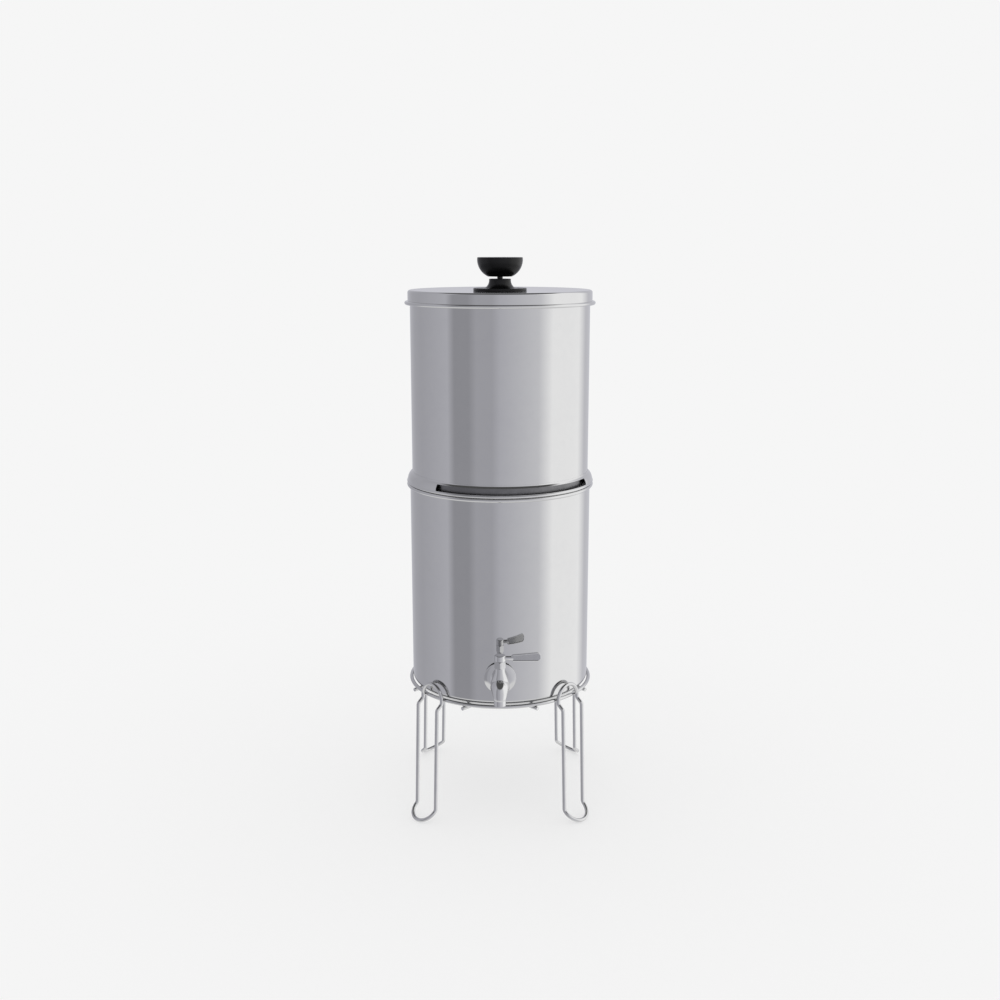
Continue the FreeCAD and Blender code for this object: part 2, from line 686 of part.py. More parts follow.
def make_tap_body():
    """Barrel, valve chamber, bonnet neck and down-turned spout in one casting."""
    straight = barrel_start - elbow_y
    swell_start = barrel_plain_length
    swell_end = barrel_start - tap_axis_y
    swell_middle = vec((barrel_radius + bulb_radius) / 2, 0, (swell_start + swell_end) / 2)
    body = turned([
        line(vec(0, 0, 0), vec(barrel_radius, 0, 0)),
        line(vec(barrel_radius, 0, 0), vec(barrel_radius, 0, swell_start)),
        arc(vec(barrel_radius, 0, swell_start), swell_middle + vec(barrel_swell, 0, 0),
            vec(bulb_radius, 0, swell_end)),
        line(vec(bulb_radius, 0, swell_end), vec(bulb_radius, 0, straight)),
        line(vec(bulb_radius, 0, straight), vec(0, 0, straight)),
        line(vec(0, 0, straight), vec(0, 0, 0)),
    ])
    body.Placement = FreeCAD.Placement(vec(0, barrel_start, tap_height), FreeCAD.Rotation(up, forward))
    sections = []
    for step in range(elbow_sections + 1):
        share = step / elbow_sections
        radius = bulb_radius + (spout_radius - bulb_radius) * share
        sections.append(spout_section(90 * share, radius))
    spout_top = vec(0, mouth_y, tap_height - elbow_radius)
    spout = cylinder(spout_radius, spout_length, spout_top, vec(0, 0, -1))
    body = body.fuse([Part.makeLoft(sections, True, False), spout])

    axis_base = vec(0, tap_axis_y, tap_height)
    shoulder_height = tap_shoulder_top - tap_shoulder_bottom
    shoulder_base = axis_base + vec(0, 0, tap_shoulder_bottom)
    shoulder = Part.makeCone(tap_shoulder_radius, tap_neck_radius, shoulder_height, shoulder_base)
    neck = cylinder(tap_neck_radius, tap_neck_height, axis_base)
    body = body.fuse([shoulder, neck])

    chamber_radius = ball_radius + ball_gap
    chamber_front = tap_axis_y - chamber_radius - seat_gap
    chamber = cylinder(chamber_radius, barrel_start - chamber_front, vec(0, chamber_front, tap_height),
                       backward)
    stem_hole = cylinder(stem_radius + stem_gap, tap_neck_height, axis_base)
    gland_base = vec(0, tap_axis_y, neck_top - stem_gland_depth)
    gland = cylinder(stem_gland_radius, stem_gland_depth, gland_base)
    waterway = Part.Wire([
        line(vec(0, tap_axis_y, tap_height), vec(0, elbow_y, tap_height)),
        Part.Arc(vec(0, elbow_y, tap_height),
                 vec(0, elbow_y - elbow_radius * math.sin(math.pi / 4),
                     tap_height - elbow_radius * (1 - math.cos(math.pi / 4))),
                 spout_top).toShape(),
        line(spout_top, vec(0, mouth_y, mouth_height)),
    ])
    bore = wire_along(waterway, spout_bore_radius)
    body = body.cut([chamber, stem_hole, gland, bore])
    export("tap_body", body)


def make_tap_shank():
    """Threaded tail that passes through the tank wall and closes the valve chamber."""
    tail = -(lower_tank_radius - sheet_wall - shank_inner_length)
    shank = cylinder(shank_radius, tail - barrel_start, vec(0, barrel_start, tap_height), backward)
    nose_radius = ball_radius + ball_gap - thread_gap
    seat_back = tap_axis_y + ball_radius + ball_gap + seat_gap
    nose = cylinder(nose_radius, barrel_start - seat_back, vec(0, seat_back, tap_height), backward)
    bore = cylinder(shank_bore_radius, tail - seat_back, vec(0, seat_back, tap_height), backward)
    export("tap_shank", shank.fuse(nose).cut(bore))


def make_ball_seats():
    """Two sealing rings, hollowed to the ball, in front of it and behind it."""
    ring_radius = ball_radius + ball_gap - thread_gap
    ball_space = Part.makeSphere(ball_radius + ball_gap, vec(0, tap_axis_y, tap_height))
    rings = []
    for direction in (forward, backward):
        start = vec(0, tap_axis_y, tap_height) + direction * (ball_radius + seat_gap - ball_seat_length)
        ring = tube(ring_radius, ball_bore_radius + seat_gap, ball_seat_length, start, direction)
        rings.append(ring.cut(ball_space))
    export("ball_seats", Part.makeCompound(rings))


def make_valve():
    """Ball, stem and lever, shown closed: the ball's bore lies across the flow."""
    centre = vec(0, tap_axis_y, tap_height)
    ball = Part.makeSphere(ball_radius, centre)
    bore_base = centre - rightward * ball_radius
    ball = ball.cut(cylinder(ball_bore_radius, 2 * ball_radius, bore_base, rightward))
    groove_width = stem_tang_width + 2 * tang_gap
    groove = Part.makeBox(2 * ball_radius, groove_width, stem_tang_depth + tang_gap)
    groove.translate(centre + vec(-ball_radius, -groove_width / 2,
                                  ball_radius - stem_tang_depth - tang_gap))
    export("tap_ball", ball.cut(groove))

    tang_bottom = tap_height + ball_radius - stem_tang_depth
    shoulder = tap_height + ball_radius + ball_gap
    stem_top = lever_bottom + lever_hub_height - lever_hub_edge
    stem = cylinder(stem_radius, stem_top - tang_bottom, vec(0, tap_axis_y, tang_bottom))
    cheek = Part.makeBox(2 * stem_radius, stem_radius, shoulder - tang_bottom)
    for start in (stem_tang_width / 2, -stem_tang_width / 2 - stem_radius):
        side = cheek.copy()
        side.translate(vec(-stem_radius, tap_axis_y + start, tang_bottom))
        stem = stem.cut(side)
    export("tap_stem", stem)

    seals = []
    gland_bottom = neck_top - stem_gland_depth
    seal_centre_radius = (stem_radius + stem_gland_radius) / 2
    for index in range(2):
        height = gland_bottom + stem_seal_radius + seat_gap + index * stem_seal_spacing
        seals.append(Part.makeTorus(seal_centre_radius, stem_seal_radius, vec(0, tap_axis_y, height)))
    export("stem_seals", Part.makeCompound(seals))


def make_bonnet_nut():
    base = vec(0, tap_axis_y, bonnet_bottom)
    nut = hexagon(bonnet_flats, bonnet_height, base)
    corner_radius = bonnet_flats / math.sqrt(3)
    chamfer = bonnet_chamfer
    flats_radius = corner_radius - chamfer
    barrel = turned([
        line(vec(0, 0, 0), vec(flats_radius, 0, 0)),
        line(vec(flats_radius, 0, 0), vec(corner_radius, 0, chamfer)),
        line(vec(corner_radius, 0, chamfer), vec(corner_radius, 0, bonnet_height - chamfer)),
        line(vec(corner_radius, 0, bonnet_height - chamfer), vec(flats_radius, 0, bonnet_height)),
        line(vec(flats_radius, 0, bonnet_height), vec(0, 0, bonnet_height)),
        line(vec(0, 0, bonnet_height), vec(0, 0, 0)),
    ])
    barrel.translate(base)
    nut = nut.common(barrel)
    socket = cylinder(tap_neck_radius + thread_gap, bonnet_skirt + seat_gap, base)
    passage = cylinder(stem_radius + stem_gap, bonnet_height, base)
    export("bonnet_nut", nut.cut([socket, passage]))


def make_lever():
    hub_base = vec(0, tap_axis_y, lever_bottom)
    hub = cylinder(lever_hub_radius, lever_hub_height, hub_base)
    hub = fillet_round_edges(hub, lever_hub_edge, lever_bottom + lever_hub_height)
    neck_height = lever_bottom + lever_hub_height / 2
    neck = cylinder(lever_neck_radius, lever_neck_end, vec(0, tap_axis_y, neck_height), rightward)

    def paddle_outline(inset):
        root = lever_paddle_root_height / 2 - inset
        tip = lever_paddle_tip_height / 2 - inset
        start = lever_paddle_start + inset
        end = lever_paddle_end - inset
        root_z = neck_height
        tip_z = neck_height + lever_paddle_rise
        corner = end - tip
        return Part.Wire([
            arc(vec(start + root, 0, root_z - root), vec(start, 0, root_z),
                vec(start + root, 0, root_z + root)),
            line(vec(start + root, 0, root_z + root), vec(corner, 0, tip_z + tip)),
            arc(vec(corner, 0, tip_z + tip), vec(end, 0, tip_z), vec(corner, 0, tip_z - tip)),
            line(vec(corner, 0, tip_z - tip), vec(start + root, 0, root_z - root)),
        ])

    thickness = lever_paddle_thickness
    paddle = Part.Face(paddle_outline(0)).extrude(vec(0, thickness, 0))
    paddle.translate(vec(0, tap_axis_y - thickness / 2, 0))
    rims = [edge for edge in paddle.Edges if edge.BoundBox.YLength < 0.001]
    paddle = paddle.makeFillet(lever_paddle_edge, rims)
    panel = Part.Face(paddle_outline(lever_panel_inset)).extrude(vec(0, lever_panel_depth, 0))
    front_panel = panel.copy()
    front_panel.translate(vec(0, tap_axis_y - thickness / 2, 0))
    back_panel = panel.copy()
    back_panel.translate(vec(0, tap_axis_y + thickness / 2 - lever_panel_depth, 0))
    lever = hub.fuse([neck, paddle]).cut([front_panel, back_panel])
    socket_depth = lever_hub_height - lever_hub_edge + thread_gap
    stem_socket = cylinder(stem_radius + thread_gap, socket_depth, hub_base)
    export("tap_lever", lever.cut(stem_socket))


os.makedirs("parts", exist_ok=True)
make_stand()
make_support_wires()
make_lower_tank()
make_upper_tank()
make_support_collar()
make_lid()
make_knob()
make_filter("left", -filter_offset)
make_filter("right", filter_offset)
make_tap_seals()
make_escutcheon()
make_tap_body()
make_tap_shank()
make_ball_seats()
make_valve()
make_bonnet_nut()
make_lever()
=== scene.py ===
import math
import bpy
from mathutils import Matrix, Vector


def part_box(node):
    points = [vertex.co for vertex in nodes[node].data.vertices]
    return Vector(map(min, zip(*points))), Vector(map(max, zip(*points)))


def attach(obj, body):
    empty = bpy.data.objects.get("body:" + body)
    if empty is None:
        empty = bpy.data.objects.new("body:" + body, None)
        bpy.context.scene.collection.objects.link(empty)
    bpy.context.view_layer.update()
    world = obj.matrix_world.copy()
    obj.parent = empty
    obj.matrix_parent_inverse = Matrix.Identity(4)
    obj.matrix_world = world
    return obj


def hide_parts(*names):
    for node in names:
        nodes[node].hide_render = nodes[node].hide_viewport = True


# Gravity water filter with tap: two polished steel tanks on a wire stand.
# Metres, +Z up, origin on the worktop under the tanks. The tap faces -Y.

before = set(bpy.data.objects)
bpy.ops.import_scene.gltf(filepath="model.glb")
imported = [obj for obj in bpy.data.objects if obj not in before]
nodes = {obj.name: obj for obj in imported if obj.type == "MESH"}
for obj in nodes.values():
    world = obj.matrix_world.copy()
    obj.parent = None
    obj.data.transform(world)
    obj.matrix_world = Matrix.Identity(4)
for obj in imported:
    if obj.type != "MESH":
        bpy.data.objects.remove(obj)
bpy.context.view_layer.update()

MM = 0.001
UP = Vector((0, 0, 1))
RIGHT = Vector((1, 0, 0))
FORWARD = Vector((0, -1, 0))
ORIGIN = Vector((0, 0, 0))

# How finely the pieces are shaped, and which faces count as flat, sharp or downward
TURN_STEPS = 192
SMALL_TURN_STEPS = 96
CORNER_STEPS = 10
BEAD_STEPS = 28
DOME_STEPS = 24
WIRE_SIDES = 24
BEND_STEPS = 12
HOLE_SIDES = 64
MERGE_DISTANCE = 0.004 * MM
SMOOTH_ANGLE = math.radians(32)
SHARP_ANGLE = math.radians(60)
FLAT = 0.99
DOWNWARD = -0.5
EDGE_SEGMENTS = 3
CASTING_VOXEL = 0.3 * MM
CASTING_SMOOTHING = 24
CASTING_SOFTNESS = 0.5
OVERRUN = 1 * MM
BLOCK_SIZE = 60 * MM
LONG_RUN = 1.5 * MM
SUPPORT_STEP = 0.15 * MM

# Sheet steel
WALL = 0.8 * MM
TANK_CORNER = 9 * MM
RIM_BEAD_RADIUS = 2.2 * MM
RIM_BEAD_INSET = 0.5 * MM
UPPER_HEM_RADIUS = 1.1 * MM
COLLAR_HEM_RADIUS = 1.6 * MM
COLLAR_HEM_OVERHANG = 0.8 * MM
COLLAR_FLARE_FOOT = 3 * MM
COLLAR_FLARE_RADIUS = 12 * MM
COLLAR_FLARE_END = 2
COLLAR_BAND_HEIGHT = 3 * MM
COLLAR_TANK_GAP = 0.05 * MM
COLLAR_FAIRING = 0.48 * MM
COLLAR_LIP = 0.12 * MM
# Below this height the upper tank's outside gets painted shade, for its wall in the collar's recess.
SHADE_PAINT_TOP = 412 * MM
NOTCH_BOTTOM = 3.45 * MM
NOTCH_HEIGHT = 7.4 * MM
NOTCH_CENTRE = 11.8
NOTCH_WIDTH = 106.5
NOTCH_STEPS = 64
LID_BEAD_RADIUS = 2.1 * MM
LID_BEAD_INSET = 0.5 * MM
LID_CORNER = 3 * MM
LID_DISH = 0.8 * MM
LID_SEAT = 32.3 * MM
HOLE_CLEARANCE = 0.2 * MM

# Wire stand
LEG_WIRE_SPACING = 33 * MM
LEG_ARCH_RISE = 16.5 * MM
LEG_JOGGLE_DROP = 4 * MM
LEG_JOGGLE_HEIGHT = 6 * MM
LEG_JOGGLE_BEND = 4.5 * MM
FOOT_BEND = 5 * MM
LEG_ARCH_RADIUS = 113.71 * MM
LEG_TOP_RADIUS = 121.5 * MM
LEG_KNEE_RADIUS = 125.5 * MM
FOOT_TILT = 51
SUPPORT_OFFSET = 42.5 * MM
SUPPORT_HALF_LENGTH = 104.98 * MM
SUPPORT_DIP_MARGIN = 17.5 * MM
SUPPORT_DIP_RUN = 14 * MM
SUPPORT_DIP_BEND = 12 * MM
SUPPORT_DIP = 4.6 * MM
WIRE_END_BEVEL = 0.5 * MM

# Knob
KNOB_HOLE_RADIUS = 2.55 * MM
KNOB_FLANGE_RADIUS = 31.3 * MM
KNOB_FLANGE_THICKNESS = 2.7 * MM
KNOB_FLANGE_EDGE = 0.8 * MM
KNOB_COLLAR_FOOT = 18 * MM
KNOB_COLLAR_RADIUS = 12.8 * MM
KNOB_COLLAR_FLARE = 12 * MM
KNOB_COLLAR_CROWN = 0.8 * MM
KNOB_NECK_RADIUS = 3.3 * MM
KNOB_NECK_LENGTH = 2.6 * MM
KNOB_FOOT_RADIUS = 14.6 * MM
KNOB_FOOT_EDGE = 0.5 * MM
KNOB_RADIUS = 26.6 * MM
KNOB_EDGE = 0.8 * MM
KNOB_FULLNESS = 2.7 * MM
KNOB_DISH = 1 * MM
KNOB_SOCKET_DEPTH = 16.9 * MM

# Tap
SHANK_RADIUS = 8 * MM
TAP_HEIGHT = 186 * MM
TAP_AXIS_Y = -136.2 * MM
ESCUTCHEON_RADIUS = 18.6 * MM
ESCUTCHEON_THICKNESS = 3 * MM
ESCUTCHEON_EDGE = 1 * MM
BARREL_START_Y = -113.5 * MM
BARREL_RADIUS = 9.4 * MM
BARREL_PLAIN = 7.5 * MM
BARREL_SWELL = 0.15 * MM
BARREL_OVERLAP = 0.5 * MM
BULB_RADIUS = 10.9 * MM
ELBOW_Y = -140.2 * MM
ELBOW_RADIUS = 10.6 * MM
ELBOW_STEPS = 18
ELBOW_TAPER = 1.1
SPOUT_RADIUS = 6.9 * MM
SPOUT_LENGTH = 6 * MM
SPOUT_BORE = 4.4 * MM
SPOUT_DEPTH = 14 * MM
SHOULDER_RADIUS = 10.7 * MM
SHOULDER_BOTTOM = 4 * MM
SHOULDER_TOP = 17.5 * MM
NECK_RADIUS = 5.8 * MM
CHAMBER_RADIUS = 6.08 * MM
GLAND_RADIUS = 4.6 * MM
GLAND_DEPTH = 9 * MM
STEM_RADIUS = 3 * MM
STEM_CLEARANCE = 0.06 * MM
BONNET_FLATS = 12.6 * MM
BONNET_CHAMFER = 0.9 * MM
BONNET_SKIRT = 4.1 * MM
BONNET_CLEARANCE = 0.05 * MM
HUB_RADIUS = 6.4 * MM
HUB_HEIGHT = 6.8 * MM
HUB_EDGE = 1.2 * MM
HUB_FOOT_EDGE = 0.3 * MM
HUB_CLEARANCE = 0.05 * MM
LEVER_NECK_RADIUS = 2.4 * MM
LEVER_NECK_END = 15 * MM
PADDLE_START = 12.5 * MM
PADDLE_END = 46.4 * MM
PADDLE_ROOT = 3.9 * MM
PADDLE_TIP = 5.4 * MM
PADDLE_RISE = 1.8 * MM
PADDLE_ROOT_CORNER = 3 * MM
PADDLE_TIP_CORNER = 4.4 * MM
PADDLE_THICKNESS = 3.4 * MM
PADDLE_EDGE = 0.5 * MM
SUNK_FACE_INSET = 0.6 * MM
SUNK_FACE_SLOPE = 0.4 * MM
SUNK_FACE_DEPTH = 0.5 * MM
SEAT_GAP = 0.1 * MM
HOLE_RING = 13 * MM

# Filter elements
FILTER_OFFSET = 48 * MM
STEM_HOLE_RADIUS = 6.3 * MM

# Finishes. Noise is written as scale, detail and sharpness, and a range as low and high.
FINE_LINES = (1.0, 2.0, 0.6)
COARSE_LINES = (0.12, 3.0, 0.6)
LINES_RANGE = (0.35, 0.7)
LINES_ROUGHNESS = 0.006
LINES_BUMP = 0.1
CLOUDS = (1.0, 4.0, 0.55)
STREAKS = (5.0, 2.0, 0.5)
SMUDGE_RANGE = (0.18, 0.38)
MOULDED_SMUDGE_SIZE = 60.0
MOULDED_SMUDGE_ROUGHNESS = 0.08
GRAIN_DETAIL = 4.0
GRAIN_SHARPNESS = 0.6
GRAIN_BUMP = 0.25


# Modelling steps

def point(radius, height):
    return Vector((radius, 0, height))


def arc_points(centre, radius, start, end, steps):
    """Points along an arc in the XZ plane, from one angle to another, in degrees."""
    points = []
    for step in range(steps + 1):
        angle = math.radians(start + (end - start) * step / steps)
        points.append(centre + Vector((radius * math.cos(angle), 0, radius * math.sin(angle))))
    return points


def deselect():
    if bpy.context.object and bpy.context.object.mode != "OBJECT":
        bpy.ops.object.mode_set(mode="OBJECT")
    bpy.ops.object.select_all(action="DESELECT")


def activate(piece):
    """Makes the piece the only one that is selected, and the active one."""
    deselect()
    bpy.context.view_layer.objects.active = piece
    piece.select_set(True)


def discard(piece):
    mesh = piece.data
    bpy.data.objects.remove(piece)
    bpy.data.meshes.remove(mesh)


def apply_modifier(piece, kind, **settings):
    """Adds a modifier with its settings and applies it. The piece is the active one."""
    modifier = piece.modifiers.new(kind.lower(), kind)
    for label, value in settings.items():
        setattr(modifier, label, value)
    bpy.ops.object.modifier_apply(modifier=modifier.name)


def draw_outline(points):
    """Starts a mesh and draws a line through the points. It stays in edit mode."""
    deselect()
    bpy.ops.mesh.primitive_plane_add(size=MM, location=points[0])
    bpy.ops.object.mode_set(mode="EDIT")
    bpy.ops.mesh.select_all(action="SELECT")
    bpy.ops.mesh.merge(type="CENTER")
    for start, end in zip(points, points[1:]):
        bpy.ops.mesh.extrude_region_move(TRANSFORM_OT_translate={"value": end - start})


def close_up():
    """Merges what meets and turns all the faces outwards. It leaves edit mode."""
    bpy.ops.mesh.select_all(action="SELECT")
    bpy.ops.mesh.remove_doubles(threshold=MERGE_DISTANCE)
    bpy.ops.mesh.normals_make_consistent(inside=False)
    bpy.ops.object.mode_set(mode="OBJECT")


def name_piece(name):
    """Names the active mesh, puts its origin at the frame's and smooths its shading."""
    piece = bpy.context.object
    piece.name = name
    piece.data.name = name
    bpy.ops.object.transform_apply(location=True, rotation=True, scale=True)
    bpy.ops.object.shade_smooth_by_angle(angle=SMOOTH_ANGLE)
    return piece


def smoothed(piece):
    """Shades the piece smooth again after it was cut."""
    activate(piece)
    bpy.ops.object.shade_smooth_by_angle(angle=SMOOTH_ANGLE)
    return piece


def supported(outline):
    """Adds points near both ends of long straight runs, so that they shade as straight."""
    spots = [outline[0]]
    for start, end in zip(outline, outline[1:]):
        run = end - start
        if run.length > LONG_RUN:
            step = run.normalized() * SUPPORT_STEP
            spots += [start + step, end - step]
        spots.append(end)
    return spots


def turned(name, outline, steps=TURN_STEPS, base=ORIGIN, axis=UP):
    """A piece turned about an axis from an outline drawn beside it."""
    draw_outline([base + RIGHT * spot.x + axis * spot.z for spot in supported(outline)])
    bpy.ops.mesh.select_all(action="SELECT")
    bpy.ops.mesh.spin(steps=steps, angle=2 * math.pi, center=base, axis=axis)
    close_up()
    return name_piece(name)


def apply_boolean(piece, other, operation):
    """Joins, cuts or trims the piece with another, which is used up."""
    activate(piece)
    apply_modifier(piece, "BOOLEAN", object=other, operation=operation, solver="EXACT")
    discard(other)
    return piece


def cut_away(piece, cutter):
    """Cuts the shape of the cutter out of the piece."""
    return apply_boolean(piece, cutter, "DIFFERENCE")


def rod(radius, start, end, sides):
    """A plain round bar, used to cut with."""
    deselect()
    along = end - start
    turn = UP.rotation_difference(along).to_euler()
    bpy.ops.mesh.primitive_cylinder_add(vertices=sides, radius=radius, depth=along.length,
                                        location=(start + end) / 2, rotation=turn)
    return bpy.context.object


def extrude_straight(run):
    """Draws the selected end of a wire out straight, with a ring near each end of a long run."""
    if run.length < MERGE_DISTANCE:
        return
    steps = [run]
    if run.length > LONG_RUN:
        step = run.normalized() * SUPPORT_STEP
        steps = [step, run - 2 * step, step]
    for step in steps:
        bpy.ops.mesh.extrude_region_move(TRANSFORM_OT_translate={"value": step})


def sweep_wire(name, points, bends, radius):
    """Round wire along straight runs joined by bends. One bend radius for each inner point."""
    deselect()
    heading = (points[1] - points[0]).normalized()
    bpy.ops.mesh.primitive_circle_add(vertices=WIRE_SIDES, radius=radius, fill_type="NGON",
                                      location=points[0],
                                      rotation=UP.rotation_difference(heading).to_euler())
    bpy.ops.object.mode_set(mode="EDIT")
    bpy.ops.mesh.select_all(action="SELECT")
    place = points[0]
    for index, bend in enumerate(bends):
        corner = points[index + 1]
        back = (points[index] - corner).normalized()
        ahead = (points[index + 2] - corner).normalized()
        half = back.angle(ahead) / 2
        reach = bend / math.tan(half)
        start = corner + back * reach
        centre = corner + (back + ahead).normalized() * (bend / math.sin(half))
        extrude_straight(start - place)
        turn = math.pi - 2 * half
        bpy.ops.mesh.spin(steps=BEND_STEPS, angle=turn, center=centre, axis=back.cross(ahead))
        place = corner + ahead * reach
    extrude_straight(points[-1] - place)
    close_up()
    return name_piece(name)


def finish_in(piece, material):
    """Makes the material the piece's only one."""
    piece.data.materials.clear()
    piece.data.materials.append(material)


def settle(piece, body, material, node):
    """Gives the piece its material and its body, and hides the node that it stands for."""
    finish_in(piece, material)
    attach(piece, body)
    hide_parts(node)
    return piece


# Materials

def new_group(name, inputs, outputs):
    """A shader node group with float or vector sockets. Returns the group and its two end nodes."""
    group = bpy.data.node_groups.new(name, "ShaderNodeTree")
    for label, kind, value in inputs:
        socket = group.interface.new_socket(label, in_out="INPUT", socket_type=kind)
        if value is not None:
            socket.default_value = value
    for label, kind in outputs:
        group.interface.new_socket(label, in_out="OUTPUT", socket_type=kind)
    start = group.nodes.new("NodeGroupInput")
    end = group.nodes.new("NodeGroupOutput")
    return group, start, end


def feed(tree, socket, value):
    """Gives a socket a number, a colour of three numbers or another socket's value."""
    if isinstance(value, (int, float)):
        socket.default_value = value
    elif isinstance(value, tuple):
        socket.default_value = (*value, 1)
    else:
        tree.links.new(value, socket)


def math_node(tree, operation, *values):
    node = tree.nodes.new("ShaderNodeMath")
    node.operation = operation
    for socket, value in zip(node.inputs, values):
        feed(tree, socket, value)
    return node.outputs[0]


def map_range(tree, value, low, high, new_low=0.0, new_high=1.0):
    node = tree.nodes.new("ShaderNodeMapRange")
    labels = ("Value", "From Min", "From Max", "To Min", "To Max")
    for label, new_value in zip(labels, (value, low, high, new_low, new_high)):
        feed(tree, node.inputs[label], new_value)
    return node.outputs["Result"]


def noise(tree, vector, scale, detail, sharpness):
    node = tree.nodes.new("ShaderNodeTexNoise")
    labels = ("Vector", "Scale", "Detail", "Roughness")
    for label, value in zip(labels, (vector, scale, detail, sharpness)):
        feed(tree, node.inputs[label], value)
    return node.outputs["Fac"]


def polishing_lines_group():
    """Fine rings left by the polishing wheel, which run round the piece's own axis."""
    group, start, end = new_group(
        "polishing_lines",
        [("Vector", "NodeSocketVector", None), ("Lines Per Metre", "NodeSocketFloat", 9000.0),
         ("Break Up", "NodeSocketFloat", 6.0)],
        [("Height", "NodeSocketFloat"), ("Mask", "NodeSocketFloat")])
    parts = group.nodes.new("ShaderNodeSeparateXYZ")
    group.links.new(start.outputs["Vector"], parts.inputs[0])
    squares = math_node(group, "ADD", math_node(group, "POWER", parts.outputs["X"], 2.0),
                        math_node(group, "POWER", parts.outputs["Y"], 2.0))
    radius = math_node(group, "SQRT", squares)
    angle = math_node(group, "ARCTAN2", parts.outputs["Y"], parts.outputs["X"])
    combined = group.nodes.new("ShaderNodeCombineXYZ")
    rings = math_node(group, "MULTIPLY", radius, start.outputs["Lines Per Metre"])
    levels = math_node(group, "MULTIPLY", parts.outputs["Z"], start.outputs["Lines Per Metre"])
    along = math_node(group, "MULTIPLY", math_node(group, "COSINE", angle), start.outputs["Break Up"])
    group.links.new(math_node(group, "ADD", rings, levels), combined.inputs["X"])
    group.links.new(along, combined.inputs["Y"])
    fine = noise(group, combined.outputs[0], *FINE_LINES)
    coarse = noise(group, combined.outputs[0], *COARSE_LINES)
    group.links.new(math_node(group, "ADD", fine, coarse), end.inputs["Height"])
    group.links.new(map_range(group, coarse, *LINES_RANGE), end.inputs["Mask"])
    return group


def handling_group():
    """Faint smudges and wiping marks, as a mask from 0 to 1."""
    group, start, end = new_group(
        "handling_marks",
        [("Vector", "NodeSocketVector", None), ("Size", "NodeSocketFloat", 20.0)],
        [("Mask", "NodeSocketFloat")])
    scaled = group.nodes.new("ShaderNodeVectorMath")
    scaled.operation = "SCALE"
    group.links.new(start.outputs["Vector"], scaled.inputs[0])
    group.links.new(start.outputs["Size"], scaled.inputs["Scale"])
    clouds = noise(group, scaled.outputs[0], *CLOUDS)
    streaks = noise(group, scaled.outputs[0], *STREAKS)
    both = math_node(group, "MULTIPLY", clouds, streaks)
    group.links.new(map_range(group, both, *SMUDGE_RANGE), end.inputs["Mask"])
    return group


def moulded_grain_group():
    """The fine grain that a mould or a press leaves."""
    group, start, end = new_group(
        "moulded_grain",
        [("Vector", "NodeSocketVector", None), ("Grains Per Metre", "NodeSocketFloat", 1500.0)],
        [("Height", "NodeSocketFloat")])
    grain = noise(group, start.outputs["Vector"], start.outputs["Grains Per Metre"],
                  GRAIN_DETAIL, GRAIN_SHARPNESS)
    group.links.new(grain, end.inputs["Height"])
    return group


def new_material(name):
    """A material with one Principled shader and the Object coordinates to drive it."""
    material = bpy.data.materials.new(name)
    material.use_nodes = True
    tree = material.node_tree
    shader = tree.nodes["Principled BSDF"]
    place = tree.nodes.new("ShaderNodeTexCoord").outputs["Object"]
    return material, tree, shader, place


def add_group(tree, group, place, **values):
    node = tree.nodes.new("ShaderNodeGroup")
    node.node_tree = group
    tree.links.new(place, node.inputs["Vector"])
    for label, value in values.items():
        node.inputs[label.replace("_", " ")].default_value = value
    return node


def mix_colours(tree, factor, first, second):
    """A colour between two. In a colour mix, sockets 6 and 7 are the colours and 2 the result."""
    node = tree.nodes.new("ShaderNodeMix")
    node.data_type = "RGBA"
    for index, value in ((0, factor), (6, first), (7, second)):
        feed(tree, node.inputs[index], value)
    return node.outputs[2]


def add_bump(tree, shader, height, strength, distance):
    bump = tree.nodes.new("ShaderNodeBump")
    bump.inputs["Strength"].default_value = strength
    bump.inputs["Distance"].default_value = distance
    tree.links.new(height, bump.inputs["Height"])
    tree.links.new(bump.outputs[0], shader.inputs["Normal"])


polishing_lines = polishing_lines_group()
handling_marks = handling_group()
moulded_grain = moulded_grain_group()


def steel_material(name, colour, worn_colour, roughness, worn_roughness, lines, line_depth):
    """Stainless steel: fine rings, smudges and a slight change of tone."""
    material, tree, shader, place = new_material(name)
    rings = add_group(tree, polishing_lines, place, Lines_Per_Metre=lines)
    smudges = add_group(tree, handling_marks, place)
    shader.inputs["Metallic"].default_value = 1.0
    tree.links.new(mix_colours(tree, smudges.outputs["Mask"], colour, worn_colour),
                   shader.inputs["Base Color"])
    rough = math_node(tree, "ADD",
                      map_range(tree, smudges.outputs["Mask"], 0.0, 1.0, roughness, worn_roughness),
                      map_range(tree, rings.outputs["Mask"], 0.0, 1.0, 0.0, LINES_ROUGHNESS))
    tree.links.new(rough, shader.inputs["Roughness"])
    add_bump(tree, shader, rings.outputs["Height"], LINES_BUMP, line_depth)
    return material


def paint_shade_below(piece, height, material):
    """Paints shade on the outside of the piece below a height, as a dark second material."""
    piece.data.materials.append(material)
    for face in piece.data.polygons:
        outside = face.center.x * face.normal.x + face.center.y * face.normal.y > 0
        if face.center.z < height and (outside or face.normal.z < DOWNWARD):
            face.material_index = 1


def satin_sunk_faces(piece, material):
    """Gives the handle's sunk faces a second finish."""
    piece.data.materials.append(material)
    back = max(spot.co.y for spot in piece.data.vertices if spot.co.x > LEVER_NECK_END)
    reach = back - SUNK_FACE_DEPTH / 2
    for face in piece.data.polygons:
        sunk = abs(face.center.y - TAP_AXIS_Y) < reach - TAP_AXIS_Y
        if sunk and abs(face.normal.y) > FLAT and face.center.x > LEVER_NECK_END:
            face.material_index = 1


